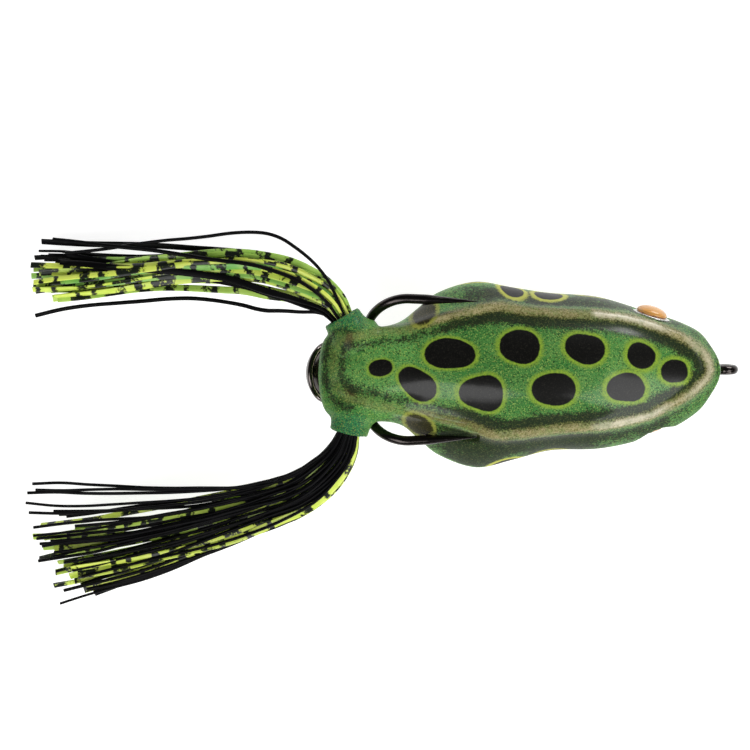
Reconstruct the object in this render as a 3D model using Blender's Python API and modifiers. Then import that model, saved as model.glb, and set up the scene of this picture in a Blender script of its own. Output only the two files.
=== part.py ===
"""Hollow-body topwater frog lure with a weedless double hook and two skirt legs.

Metres. +X points to the nose, +Y to the lure's left, +Z up. The origin is on the flat of the belly that
the lure rests on. Tables are in millimetres and are scaled by MM where they are read.
"""

import math

import bmesh
import bpy
import numpy as np
from mathutils import Vector

MM = 0.001
GAP = 0.3 * MM
SIDES = {"left": 1.0, "right": -1.0}

# Body: rows from the tail end to the bottom of the popping cup, in millimetres.
# x, half width, lowest z, highest z, z of the widest line, roundness of the back, lean, bow, sway
# Lean tips a row's top forward, bow draws its sides back, and sway shifts it to the left.
BODY_ROWS = (
    (-32.4, 0.0, 15.0, 15.0, 15.0, 2.0, 0.0, 0.0, 0.0),
    (-32.0, 3.6, 12.9, 17.0, 15.0, 2.0, 0.0, 0.0, 0.0),
    (-31.1, 6.0, 11.9, 18.0, 15.0, 2.1, 0.0, 0.0, 0.0),
    (-29.0, 7.4, 11.3, 18.7, 15.0, 2.2, 0.0, 0.0, 0.0),
    (-25.5, 7.7, 11.0, 19.1, 15.0, 2.2, 0.0, 0.0, 0.0),
    (-22.0, 7.6, 9.4, 19.4, 14.4, 2.1, 0.0, 0.0, 0.0),
    (-19.0, 8.4, 4.6, 19.7, 13.0, 1.9, 0.0, 0.0, 0.0),
    (-16.4, 10.5, 0.5, 20.0, 11.6, 1.7, 0.0, 0.0, -0.2),
    (-13.0, 13.2, -0.7, 20.5, 10.4, 1.6, 0.0, 0.0, -0.35),
    (-7.0, 15.1, -0.9, 21.2, 9.4, 1.6, 0.0, 0.0, -0.6),
    (-1.0, 14.0, -0.9, 21.8, 9.4, 1.8, 0.0, 0.0, -0.45),
    (5.0, 12.75, -0.9, 21.9, 9.8, 2.0, 0.0, 0.0, -0.15),
    (12.5, 12.3, -0.5, 21.0, 10.2, 2.2, 0.0, 0.0, -0.35),
    (19.0, 10.7, 1.4, 19.3, 10.6, 2.3, 0.0, 0.0, -0.65),
    (24.5, 8.8, 4.0, 17.5, 11.0, 2.3, 0.1, 0.0, -0.5),
    (28.2, 6.95, 6.5, 15.9, 11.3, 2.2, 0.3, 0.2, -0.2),
    (30.0, 5.5, 7.8, 15.0, 11.4, 2.1, 0.6, 0.5, 0.0),
    (31.1, 4.1, 8.5, 14.3, 11.2, 2.0, 0.9, 1.2, 0.1),
    (30.5, 2.8, 8.9, 13.5, 10.9, 2.0, 0.8, 0.8, 0.1),
    (29.8, 1.9, 9.3, 12.2, 10.6, 2.0, 0.3, 0.2, 0.0),
    (29.5, 0.0, 10.5, 10.5, 10.5, 2.0, 0.0, 0.0, 0.0),
)
BELLY_ROUNDNESS = 2.5
RING_POINTS = 28
RINGS_PER_ROW = 2
RIDGE_ANGLE = math.radians(44.0)
RIDGE_SPREAD = math.radians(13.0)
RIDGE_HEIGHT = 0.7 * MM
RIDGE_FULL_WIDTH = 6.0 * MM  # the ridge fades out where the body is narrower than this to each side
RIDGE_SLANT = math.sqrt(0.5)  # the ridge stands out and up in equal parts
WALL = 1.6 * MM
CAVITY_ROWS = (1.6, 14.6)  # the stretch of rows, by number, that is hollow
CAVITY_RINGS = 22
CAVITY_POINTS = 20
NOSE_BORE_X = (22.0 * MM, 34.0 * MM)
RUMP_X = (-27.0 * MM, -13.0 * MM)  # the opening under the tail that the bends come out of
RUMP_HALF = (3.6 * MM, 4.4 * MM)
RUMP_Z = (4.4 * MM, 3.6 * MM)

# Leg sleeves: rim centre in plan and the heading of the sleeve's axis.
SLEEVE_Z = 15.2 * MM
SLEEVE_RADIUS = 3.1 * MM
SLEEVE_BORE = 2.5 * MM
SLEEVE_LENGTH = 6.5 * MM
SLEEVE_OVERRUN = 0.5 * MM  # the bore runs on past the sleeve into the hollow
FLARE_RADII = (4.1 * MM, 3.0 * MM)  # the sleeve widens to the first of these where it meets the tail
FLARE_START = 0.5 * MM
FLARE_LENGTH = 3.5 * MM
LEG_RIM = {"left": (-28.6 * MM, 9.3 * MM), "right": (-27.6 * MM, -9.4 * MM)}
LEG_HEADING = {"left": math.radians(119.0), "right": math.radians(-103.0)}

# Hook: one wire, doubled at the line-tie eye.
WIRE_RADIUS = 0.78 * MM
EYE_FRONT_X = 34.55 * MM
EYE_RADIUS = 1.45 * MM
EYE_NECK_X = 32.1 * MM
EYE_TURNS = (100.0, 70.0, 45.0, 22.0)  # where the wire runs round the eye, degrees from its front
NOSE_Z = 10.5 * MM
SHANK_Z = 3.6 * MM
NOSE_OFFSET = 0.84 * MM
SHANK_OFFSET = 1.2 * MM
RISE_X = (5.0 * MM, 25.5 * MM)  # the stretch where the shanks rise to the nose and twist upright
BEND_X = -18.0 * MM
BEND_BACK = 6.5 * MM  # how far each bend reaches back from its crest
BEND_TOP = (11.3 * MM, 16.7 * MM)  # the crest of each bend: its distance to the side and its height
POINT_TIP = (-6.9 * MM, 10.75 * MM, 17.2 * MM)
PRONG_LEAN = (0.8 * MM, 0.8 * MM)  # how far the crests and the tips stand to the left
TAPER_SHARE = 0.72  # the share of the run from tip to crest that tapers
TIP_SHARE = 0.08  # the radius at the tip, as a share of the wire's
BARB_SHARE = 0.66  # how far from the tip to the crest the barb springs from
BARB_LENGTH = 1.5 * MM
BARB_RADII = (0.42 * MM, 0.04 * MM)
BARB_LIFT = 0.75 * MM  # how far the barb's end stands in from the wire
POINT_STEPS = 9
BEND_STEPS = 16
SHANK_STEPS = 20
WIRE_ROOM_END_X = -4.0 * MM  # the body leaves room round the wire behind this

# Weight: a barrel round the shanks, a stem between the bends and a dished disc at the tail.
BARREL = (-14.5 * MM, -5.0 * MM)
BARREL_HALF = (3.5 * MM, 2.7 * MM)
BARREL_Z = 4.65 * MM
BARREL_BEVEL = 0.8 * MM
SLOT_HALF_HEIGHT = 1.3 * MM
STEM_RADIUS = 0.9 * MM
STEM_START = Vector((-12.5, 0.0, 5.55)) * MM
STEM_END = 1.5 * MM  # how far behind the middle of the disc the stem ends
DISC_CENTRE = Vector((-30.9, 0.0, 9.0)) * MM
DISC_TILT = math.radians(51.0)
DISC_PROFILE = (
    (0.0, -0.9), (2.4, -0.7), (4.1, -0.1), (4.5, 0.4), (4.8, 0.5),
    (5.05, 0.1), (4.85, -0.6), (3.9, -1.5), (2.2, -2.1), (0.0, -2.3),
)

# Nose grommet: half widths of the oval collar and of its slot.
GROMMET_X = (27.6 * MM, 30.4 * MM, 32.2 * MM)
GROMMET_HALF = ((1.5 * MM, 2.3 * MM), (1.5 * MM, 2.3 * MM), (1.28 * MM, 2.1 * MM))
GROMMET_SLOT = (1.06 * MM, 1.92 * MM)

# Eyes: a foil disc in a shallow socket, under a domed lens.
EYE_CENTRE = {"left": Vector((21.4, 9.25, 12.1)) * MM, "right": Vector((21.4, -9.2, 12.1)) * MM}
EYE_HEADING = math.radians(73.3)
EYE_UP_TILT = math.radians(6.0)
EYE_DISC_RADIUS = 3.1 * MM
LENS_RADIUS = 2.5 * MM
FOIL_THICKNESS = 0.3 * MM
LENS_HEIGHT = 1.15 * MM
LENS_EDGE = 0.15 * MM
SOCKET_DEPTH = 0.5 * MM
SOCKET_CUT = 6.0 * MM  # the length of the cutter that sinks the socket

# Skirt legs: the middle line of each bundle (x, y, z) and its half width and half height, millimetres.
LEG_LINES = {
    "left": (
        (-28.6, 9.3, 15.2, 1.62, 1.62), (-30.3, 11.7, 15.1, 2.25, 1.8), (-33.1, 13.7, 14.5, 3.3, 2.2),
        (-38.0, 15.8, 13.3, 3.9, 2.4), (-44.6, 17.2, 11.2, 4.1, 2.5), (-54.5, 17.3, 8.6, 4.2, 2.7),
        (-66.8, 16.6, 6.6, 5.2, 2.9), (-79.4, 16.2, 5.4, 6.5, 3.0),
    ),
    "right": (
        (-27.6, -9.4, 15.2, 1.62, 1.62), (-28.7, -12.4, 15.1, 2.25, 1.8), (-31.2, -15.6, 14.5, 3.1, 2.2),
        (-35.6, -19.0, 13.3, 3.6, 2.4), (-42.0, -21.6, 11.2, 4.1, 2.5), (-52.4, -24.7, 8.6, 5.5, 2.7),
        (-66.0, -27.6, 6.6, 7.3, 2.9), (-79.4, -29.6, 5.4, 9.2, 3.0),
    ),
}
STRANDS_PER_LEG = 24
STRAND_POINTS = 13
STRAND_ROOT_RADIUS = 0.25 * MM
STRAND_GROWTH = 0.6  # the share of its length over which a strand opens out from the band
STRAND_RADIUS = 0.35 * MM
STRAND_SHORTENING = 0.05  # how much shorter than the leg the shortest strand is
STRAND_CROWDING = 1.15  # above 1, a strand's points lie closer together at its root
GOLDEN_ANGLE = math.pi * (3.0 - math.sqrt(5.0))
BAND_RADII = (2.0 * MM, 2.3 * MM)
BAND_LENGTH = 0.5 * MM
BAND_INSET = 0.2 * MM

COLOURS = {
    "skin": ((0.045, 0.27, 0.07, 1.0), 0.35, 0.0),
    "wire": ((0.035, 0.033, 0.035, 1.0), 0.22, 1.0),
    "weight": ((0.05, 0.045, 0.045, 1.0), 0.15, 1.0),
    "grommet": ((0.75, 0.78, 0.74, 1.0), 0.4, 0.0),
    "foil": ((0.75, 0.75, 0.72, 1.0), 0.3, 1.0),
    "lens": ((0.85, 0.38, 0.05, 1.0), 0.08, 0.0),
    "black_rubber": ((0.012, 0.012, 0.013, 1.0), 0.45, 0.0),
    "barred_rubber": ((0.35, 0.62, 0.06, 1.0), 0.35, 0.0),
    "band": ((0.02, 0.02, 0.02, 1.0), 0.6, 0.0),
}


def clear_scene():
    for item in list(bpy.data.objects):
        bpy.data.objects.remove(item, do_unlink=True)


def make_collection(name):
    collection = bpy.data.collections.new(name)
    bpy.context.scene.collection.children.link(collection)
    return collection


def material(slot, node):
    colour, roughness, metallic = COLOURS[slot]
    made = bpy.data.materials.new(f"{node}_{slot}")
    made.use_nodes = True
    shader = made.node_tree.nodes["Principled BSDF"]
    shader.inputs["Base Color"].default_value = colour
    shader.inputs["Roughness"].default_value = roughness
    shader.inputs["Metallic"].default_value = metallic
    return made


def smooth_step(value):
    value = min(max(value, 0.0), 1.0)
    return value * value * (3.0 - 2.0 * value)


def row_value(rows, place):
    """The row at a place between rows, on a cubic through them."""
    rows = np.asarray(rows, dtype=float)
    slopes = np.gradient(rows, axis=0)
    index = min(int(place), len(rows) - 2)
    t = place - index
    return (
        (2 * t**3 - 3 * t**2 + 1) * rows[index]
        + (t**3 - 2 * t**2 + t) * slopes[index]
        + (3 * t**2 - 2 * t**3) * rows[index + 1]
        + (t**3 - t**2) * slopes[index + 1]
    )


def body_ring(place, count, inset):
    """Points round the body's section, drawn in by an inset, anticlockwise seen from the nose."""
    x, width, low, high, middle, roundness, lean, bow, sway = row_value(BODY_ROWS, place)
    width, low, high, middle = width * MM - inset, low * MM, high * MM - inset, middle * MM
    ring = []
    for step in range(count):
        angle = 2.0 * math.pi * step / count
        across, up = math.cos(angle), math.sin(angle)
        power = roundness if up >= 0.0 else BELLY_ROUNDNESS
        height = (high - middle) if up >= 0.0 else (middle - low - inset)
        y = width * math.copysign(abs(across) ** (2.0 / power), across)
        z = middle + height * math.copysign(abs(up) ** (2.0 / power), up)
        from_ridge = (math.atan2(up, abs(across)) - RIDGE_ANGLE) / RIDGE_SPREAD
        ridge = RIDGE_HEIGHT * math.exp(-from_ridge**2) * smooth_step(width / RIDGE_FULL_WIDTH)
        y += math.copysign(ridge, across) * RIDGE_SLANT
        z = max(z + ridge * RIDGE_SLANT, inset)
        forward = lean * (z - middle) / max(high - middle, 1e-6) - bow * (y / max(width, 1e-6)) ** 2
        ring.append(Vector((x * MM + forward * MM, y + sway * MM, z)))
    return ring


def loft(name, rings, collection):
    """A closed solid through rings of equal count, with a point at each end."""
    mesh = bmesh.new()
    loops = [[mesh.verts.new(point) for point in ring] for ring in rings[1:-1]]
    first = mesh.verts.new(sum(rings[0], Vector()) / len(rings[0]))
    last = mesh.verts.new(sum(rings[-1], Vector()) / len(rings[-1]))
    count = len(loops[0])
    for step in range(count):
        after = (step + 1) % count
        mesh.faces.new((first, loops[0][after], loops[0][step]))
        for near, far in zip(loops, loops[1:]):
            mesh.faces.new((near[step], near[after], far[after], far[step]))
        mesh.faces.new((last, loops[-1][step], loops[-1][after]))
    bmesh.ops.recalc_face_normals(mesh, faces=mesh.faces)
    return object_from(name, mesh, collection)


def object_from(name, mesh, collection):
    data = bpy.data.meshes.new(name)
    mesh.to_mesh(data)
    mesh.free()
    item = bpy.data.objects.new(name, data)
    collection.objects.link(item)
    return item


def as_cutter(item):
    item.hide_render = True
    item.display_type = "WIRE"
    return item


def boolean(item, other, operation):
    modifier = item.modifiers.new(other.name, "BOOLEAN")
    modifier.operation = operation
    modifier.object = other
    modifier.solver = "EXACT"


def between(name, start, end, radius, collection, segments=24, end_radius=None):
    """A cylinder between two points, or a cone where the end has a radius of its own."""
    mesh = bmesh.new()
    run = end - start
    bmesh.ops.create_cone(
        mesh, cap_ends=True, segments=segments, radius1=radius, radius2=end_radius or radius, depth=run.length
    )
    item = object_from(name, mesh, collection)
    item.rotation_euler = run.to_track_quat("Z", "Y").to_euler()
    item.location = (start + end) / 2.0
    return item


def oval_tube(name, stations, collection, segments=24):
    """A solid along X through ovals: each station is x, half width, half height, z of the middle."""
    mesh = bmesh.new()
    loops = []
    for x, half_width, half_height, middle in stations:
        turns = [2.0 * math.pi * step / segments for step in range(segments)]
        loops.append([
            mesh.verts.new((x, half_width * math.cos(turn), middle + half_height * math.sin(turn)))
            for turn in turns
        ])
    for near, far in zip(loops, loops[1:]):
        for step in range(segments):
            after = (step + 1) % segments
            mesh.faces.new((near[step], near[after], far[after], far[step]))
    mesh.faces.new(list(reversed(loops[0])))
    mesh.faces.new(loops[-1])
    bmesh.ops.recalc_face_normals(mesh, faces=mesh.faces)
    return object_from(name, mesh, collection)


def turned(name, profile, steps, collection):
    """A profile in the XZ plane, from the top to the bottom of its outer side, turned about Z."""
    mesh = bmesh.new()
    points = [mesh.verts.new((radius, 0.0, height)) for radius, height in profile]
    for near, far in zip(points, points[1:]):
        mesh.edges.new((near, far))
    item = object_from(name, mesh, collection)
    screw = item.modifiers.new("turn", "SCREW")
    screw.steps = steps
    screw.render_steps = steps
    screw.use_merge_vertices = True
    screw.merge_threshold = 0.00001
    return item


def curve_tube(name, points, radii, resolution, collection):
    """A tube with filled caps along a list of points, with its own radius at each."""
    curve = bpy.data.curves.new(name, "CURVE")
    curve.dimensions = "3D"
    curve.bevel_depth = 1.0
    curve.bevel_resolution = resolution
    curve.use_fill_caps = True
    spline = curve.splines.new("POLY")
    spline.points.add(len(points) - 1)
    for place, point, radius in zip(spline.points, points, radii):
        place.co = (*point, 1.0)
        place.radius = radius
    item = bpy.data.objects.new(name, curve)
    collection.objects.link(item)
    return item


def mesh_from_curve(item, collection):
    """The curve's tube as a welded mesh object of the same name, in the curve's place."""
    graph = bpy.context.evaluated_depsgraph_get()
    data = bpy.data.meshes.new_from_object(item.evaluated_get(graph))
    mesh = bmesh.new()
    mesh.from_mesh(data)
    bmesh.ops.remove_doubles(mesh, verts=mesh.verts, dist=0.000005)
    mesh.to_mesh(data)
    mesh.free()
    name = item.name
    matrix = item.matrix_world.copy()
    bpy.data.objects.remove(item, do_unlink=True)
    made = bpy.data.objects.new(name, data)
    collection.objects.link(made)
    made.matrix_world = matrix
    return made


def shank_rise(x):
    """0 where the shanks lie side by side at the belly, 1 where one is above the other in the nose."""
    return smooth_step((x - RISE_X[0]) / (RISE_X[1] - RISE_X[0]))


def shank_height(x):
    """Height of the line midway between the two shanks."""
    return SHANK_Z + (NOSE_Z - SHANK_Z) * shank_rise(x)


def prong(sign):
    """The tip and the crest of one prong; sign is 1 for the left and -1 for the right."""
    tip = Vector((POINT_TIP[0], sign * POINT_TIP[1] + PRONG_LEAN[1], POINT_TIP[2]))
    crest = Vector((BEND_X, sign * BEND_TOP[0] + PRONG_LEAN[0], BEND_TOP[1]))
    return tip, crest


def hook_side(sign):
    """Centre line and radius of one half of the wire, from its point to the line-tie eye."""
    line = []
    tip, crest = prong(sign)
    for step in range(POINT_STEPS):
        t = step / POINT_STEPS
        taper = min(1.0, TIP_SHARE + (1.0 - TIP_SHARE) * t / TAPER_SHARE)
        line.append((tip.lerp(crest, t), WIRE_RADIUS * taper))
    low = Vector((BEND_X, sign * SHANK_OFFSET, SHANK_Z))
    middle, arm = (crest + low) / 2.0, (crest - low) / 2.0
    for step in range(BEND_STEPS + 1):
        turn = math.radians(90.0 - 180.0 * step / BEND_STEPS)
        back = Vector((-BEND_BACK * math.cos(turn), 0.0, 0.0))
        line.append((middle + arm * math.sin(turn) + back, WIRE_RADIUS))
    for step in range(1, SHANK_STEPS + 1):
        t = step / SHANK_STEPS
        x = BEND_X + (EYE_NECK_X - BEND_X) * t
        rise = shank_rise(x)
        twist = math.radians(90.0) * rise
        offset = SHANK_OFFSET + (NOSE_OFFSET - SHANK_OFFSET) * rise
        height = shank_height(x) + sign * offset * math.sin(twist)
        line.append((Vector((x, sign * offset * math.cos(twist), height)), WIRE_RADIUS))
    eye_x = EYE_FRONT_X - EYE_RADIUS
    for degrees in EYE_TURNS:
        turn = math.radians(degrees)
        rise = sign * EYE_RADIUS * math.sin(turn)
        line.append((Vector((eye_x + EYE_RADIUS * math.cos(turn), 0.0, NOSE_Z + rise)), WIRE_RADIUS))
    return line


def make_hook(parts, cutters):
    front = [(Vector((EYE_FRONT_X, 0.0, NOSE_Z)), WIRE_RADIUS)]
    line = hook_side(1.0) + front + hook_side(-1.0)[::-1]
    tube = curve_tube("double_hook", [p for p, _ in line], [r for _, r in line], 2, parts)
    hook = mesh_from_curve(tube, parts)
    for side, sign in SIDES.items():
        tip, crest = prong(sign)
        base = tip.lerp(crest, BARB_SHARE) - Vector((0.0, sign * BARB_RADII[0] / 2.0, 0.0))
        along = (crest - tip).normalized() * BARB_LENGTH
        end = base + along - Vector((0.0, sign * BARB_LIFT, 0.0))
        mesh = bmesh.new()
        run = end - base
        bmesh.ops.create_cone(
            mesh, cap_ends=True, segments=6, radius1=BARB_RADII[0], radius2=BARB_RADII[1], depth=run.length
        )
        barb = as_cutter(object_from(f"{side}_barb", mesh, cutters))
        barb.rotation_euler = run.to_track_quat("Z", "Y").to_euler()
        barb.location = (base + end) / 2.0
        boolean(hook, barb, "UNION")
    hook.data.materials.append(material("wire", "double_hook"))
    return hook


def wire_clearance(cutters):
    """The room that the soft body leaves round the bends of the wire."""
    made = []
    for side, sign in SIDES.items():
        points = [place for place, _ in hook_side(sign) if place.x < WIRE_ROOM_END_X]
        radii = [WIRE_RADIUS + GAP] * len(points)
        tube = curve_tube(f"{side}_wire_room", points, radii, 2, cutters)
        made.append(as_cutter(mesh_from_curve(tube, cutters)))
    return made


def sleeve_axis(side):
    heading = LEG_HEADING[side]
    return Vector((math.cos(heading), math.sin(heading), 0.0))


def sleeve_rim(side):
    return Vector((*LEG_RIM[side], SLEEVE_Z))


def eye_frame(side):
    """Centre of the eye on the skin and the way that it faces."""
    level = math.cos(EYE_UP_TILT)
    facing = Vector((
        level * math.cos(EYE_HEADING), SIDES[side] * level * math.sin(EYE_HEADING), math.sin(EYE_UP_TILT)
    ))
    return EYE_CENTRE[side], facing


def make_body(parts, cutters):
    places = np.linspace(0.0, len(BODY_ROWS) - 1.0, (len(BODY_ROWS) - 1) * RINGS_PER_ROW + 1)
    body = loft("frog_body", [body_ring(place, RING_POINTS, 0.0) for place in places], parts)
    hollow_places = np.linspace(*CAVITY_ROWS, CAVITY_RINGS)
    hollow = [body_ring(place, CAVITY_POINTS, WALL) for place in hollow_places]
    cavity = as_cutter(loft("cavity", hollow, cutters))
    for side in SIDES:
        rim, axis = sleeve_rim(side), sleeve_axis(side)
        sleeve = between(f"{side}_sleeve", rim - axis * SLEEVE_LENGTH, rim, SLEEVE_RADIUS, cutters)
        boolean(body, as_cutter(sleeve), "UNION")
        flare = between(
            f"{side}_flare", rim - axis * FLARE_LENGTH, rim - axis * FLARE_START, FLARE_RADII[0], cutters,
            end_radius=FLARE_RADII[1],
        )
        boolean(body, as_cutter(flare), "UNION")
    boolean(body, cavity, "DIFFERENCE")
    for side in SIDES:
        rim, axis = sleeve_rim(side), sleeve_axis(side)
        start = rim - axis * (SLEEVE_LENGTH + SLEEVE_OVERRUN)
        bore = between(f"{side}_bore", start, rim + axis * MM, SLEEVE_BORE, cutters)
        boolean(body, as_cutter(bore), "DIFFERENCE")
        centre, facing = eye_frame(side)
        floor = centre - facing * SOCKET_DEPTH
        socket = between(f"{side}_socket", floor, floor + facing * SOCKET_CUT, EYE_DISC_RADIUS + GAP, cutters)
        boolean(body, as_cutter(socket), "DIFFERENCE")
    half_y, half_z = (size + GAP for size in GROMMET_HALF[0])
    nose = oval_tube(
        "nose_bore", [(x, half_y, half_z, NOSE_Z) for x in NOSE_BORE_X], cutters
    )
    boolean(body, as_cutter(nose), "DIFFERENCE")
    rump = oval_tube("rump_opening", [(x, *RUMP_HALF, z) for x, z in zip(RUMP_X, RUMP_Z)], cutters)
    boolean(body, as_cutter(rump), "DIFFERENCE")
    for room in wire_clearance(cutters):
        boolean(body, room, "DIFFERENCE")
    body.data.materials.append(material("skin", "frog_body"))
    body.data.shade_smooth()
    return body


def make_weight(parts, cutters):
    start, end = BARREL
    half_y, half_z = BARREL_HALF
    bevel = BARREL_BEVEL
    weight = oval_tube(
        "hook_weight",
        [
            (start, half_y - bevel, half_z - bevel, BARREL_Z), (start + bevel, half_y, half_z, BARREL_Z),
            (end - bevel, half_y, half_z, BARREL_Z), (end, half_y - bevel, half_z - bevel, BARREL_Z),
        ],
        parts,
    )
    opening = Vector((math.sin(DISC_TILT), 0.0, math.cos(DISC_TILT)))
    disc = turned("tail_disc", [(r * MM, h * MM) for r, h in DISC_PROFILE], 32, cutters)
    disc.rotation_euler = opening.to_track_quat("Z", "Y").to_euler()
    disc.location = DISC_CENTRE
    stem = between("stem", STEM_START, DISC_CENTRE - opening * STEM_END, STEM_RADIUS, cutters, 14)
    boolean(weight, as_cutter(stem), "UNION")
    boolean(weight, as_cutter(disc), "UNION")
    half_slot = SHANK_OFFSET + WIRE_RADIUS + GAP
    slot = oval_tube(
        "shank_slot",
        [(x, half_slot, SLOT_HALF_HEIGHT, SHANK_Z) for x in (start - MM, end + MM)],
        cutters,
    )
    boolean(weight, as_cutter(slot), "DIFFERENCE")
    weight.data.materials.append(material("weight", "hook_weight"))
    return weight


def make_grommet(parts, cutters):
    stations = [(x, half[0], half[1], NOSE_Z) for x, half in zip(GROMMET_X, GROMMET_HALF)]
    grommet = oval_tube("nose_grommet", stations, parts)
    slot = oval_tube(
        "grommet_slot", [(x, *GROMMET_SLOT, NOSE_Z) for x in NOSE_BORE_X], cutters
    )
    boolean(grommet, as_cutter(slot), "DIFFERENCE")
    grommet.data.materials.append(material("grommet", "nose_grommet"))
    return grommet


def make_eye(side, parts):
    centre, facing = eye_frame(side)
    base = centre - facing * (SOCKET_DEPTH - GAP / 2.0)
    foil = between(f"{side}_eye_foil", base, base + facing * FOIL_THICKNESS, EYE_DISC_RADIUS, parts, 28)
    foil.data.materials.append(material("foil", foil.name))
    rings = 5
    profile = [
        (LENS_RADIUS * math.sin(0.5 * math.pi * step / rings),
         LENS_HEIGHT * math.cos(0.5 * math.pi * step / rings) + LENS_EDGE)
        for step in range(rings + 1)
    ]
    profile += [(LENS_RADIUS, 0.0), (0.0, 0.0)]
    lens = turned(f"{side}_eye_lens", profile, 28, parts)
    lens.rotation_euler = facing.to_track_quat("Z", "Y").to_euler()
    lens.location = base + facing * (FOIL_THICKNESS + GAP / 3.0)
    lens.data.materials.append(material("lens", lens.name))


def make_pivot(side, parts):
    """An empty at the mouth of the sleeve, where the leg's two hinges cross."""
    pivot = bpy.data.objects.new(f"{side}_leg_pivot", None)
    pivot.location = sleeve_rim(side)
    pivot.empty_display_size = 3.0 * MM
    parts.objects.link(pivot)
    return pivot


def make_band(side, pivot, parts):
    inner, outer = BAND_RADII
    profile = [
        (inner, BAND_LENGTH / 2), (outer, BAND_LENGTH / 2), (outer, -BAND_LENGTH / 2),
        (inner, -BAND_LENGTH / 2), (inner, BAND_LENGTH / 2),
    ]
    band = turned(f"{side}_leg_band", profile, 20, parts)
    axis = sleeve_axis(side)
    band.parent = pivot
    band.rotation_euler = axis.to_track_quat("Z", "Y").to_euler()
    band.location = -axis * (BAND_INSET + BAND_LENGTH / 2)
    band.data.materials.append(material("band", band.name))


def leg_section(side, t):
    """Middle, sideways direction, half width and half height of the bundle, t from its root to its end."""
    rows = LEG_LINES[side]
    place = t * (len(rows) - 1)
    x, y, z, half_width, half_height = row_value(rows, place) * MM
    ahead = row_value(rows, min(place + 0.05, len(rows) - 1.0))
    behind = row_value(rows, max(place - 0.05, 0.0))
    run = Vector((*(ahead - behind)[:2], 0.0)).normalized()
    if place < 1.0:
        run = sleeve_axis(side).lerp(run, smooth_step(place)).normalized()
    sideways = Vector((-run.y, run.x, 0.0))
    return Vector((x, y, z)), sideways, half_width, half_height


def strand_line(side, number):
    """Points of one strand from the band out, and the radius at each."""
    spread = math.sqrt((number + 0.5) / STRANDS_PER_LEG)
    across = spread * math.cos(number * GOLDEN_ANGLE)
    up = spread * math.sin(number * GOLDEN_ANGLE)
    reach = 1.0 - STRAND_SHORTENING * ((number * 7) % 5) / 4.0
    root = sleeve_rim(side) - sleeve_axis(side) * (BAND_INSET + BAND_LENGTH)
    _, sideways, half_width, half_height = leg_section(side, 0.0)
    offset = sideways * across * half_width + Vector((0.0, 0.0, up * half_height))
    points = [root + offset]
    radii = [STRAND_ROOT_RADIUS]
    for step in range(STRAND_POINTS - 1):
        t = reach * (step / (STRAND_POINTS - 2.0)) ** STRAND_CROWDING
        middle, sideways, half_width, half_height = leg_section(side, t)
        points.append(middle + sideways * across * half_width + Vector((0.0, 0.0, up * half_height)))
        grown = smooth_step(t / STRAND_GROWTH)
        radii.append(STRAND_ROOT_RADIUS + (STRAND_RADIUS - STRAND_ROOT_RADIUS) * grown)
    return points, radii


def make_strand(side, number, pivot, parts):
    points, radii = strand_line(side, number)
    black = number % 2 == 0
    name = f"{side}_strand_{number + 1:02d}"
    local = [point - sleeve_rim(side) for point in points]
    strand = curve_tube(name, local, radii, 1 if black else 0, parts)
    strand.parent = pivot
    strand.data.materials.append(material("black_rubber" if black else "barred_rubber", name))


def main():
    clear_scene()
    parts = make_collection("hollow_frog_lure")
    cutters = make_collection("cutters")
    make_body(parts, cutters)
    make_hook(parts, cutters)
    make_weight(parts, cutters)
    make_grommet(parts, cutters)
    for side in SIDES:
        make_eye(side, parts)
        pivot = make_pivot(side, parts)
        make_band(side, pivot, parts)
        for number in range(STRANDS_PER_LEG):
            make_strand(side, number, pivot, parts)


main()
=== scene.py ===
"""Looks of the hollow-body frog lure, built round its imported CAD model.

Metres, in the CAD's frame: +X to the nose, +Y to the lure's left, +Z up, belly on z = 0.
Tables are in millimetres and are scaled by MM where they are read.
"""

from math import cos, hypot, pi, radians, sin, sqrt

import bmesh
import bpy
import numpy as np
from mathutils import Matrix, Vector, noise
from mathutils.bvhtree import BVHTree


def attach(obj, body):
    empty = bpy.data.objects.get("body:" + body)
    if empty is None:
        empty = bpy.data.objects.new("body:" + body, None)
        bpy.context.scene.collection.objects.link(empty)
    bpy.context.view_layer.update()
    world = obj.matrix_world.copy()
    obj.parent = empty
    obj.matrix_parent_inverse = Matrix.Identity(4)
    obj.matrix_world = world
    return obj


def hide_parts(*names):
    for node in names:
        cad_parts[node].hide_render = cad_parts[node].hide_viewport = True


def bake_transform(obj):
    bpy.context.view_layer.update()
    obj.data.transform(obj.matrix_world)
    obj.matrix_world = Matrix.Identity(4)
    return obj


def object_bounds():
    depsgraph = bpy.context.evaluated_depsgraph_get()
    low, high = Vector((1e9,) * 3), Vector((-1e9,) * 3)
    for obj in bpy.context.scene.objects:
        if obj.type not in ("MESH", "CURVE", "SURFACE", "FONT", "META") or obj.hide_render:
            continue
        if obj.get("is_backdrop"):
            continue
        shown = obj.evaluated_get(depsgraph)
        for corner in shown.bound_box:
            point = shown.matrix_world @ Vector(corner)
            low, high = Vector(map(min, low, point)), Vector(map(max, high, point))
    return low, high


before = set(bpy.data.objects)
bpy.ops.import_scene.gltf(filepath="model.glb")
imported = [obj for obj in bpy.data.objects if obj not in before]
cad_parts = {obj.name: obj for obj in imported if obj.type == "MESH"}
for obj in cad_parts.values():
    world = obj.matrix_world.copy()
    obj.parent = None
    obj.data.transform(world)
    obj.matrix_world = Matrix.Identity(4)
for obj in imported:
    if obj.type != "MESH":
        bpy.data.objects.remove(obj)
cad_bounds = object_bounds()

MM = 0.001
ROOT = "frog"
SIDES = {"left": 1.0, "right": -1.0}

# ---- design values shared with the CAD

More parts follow.
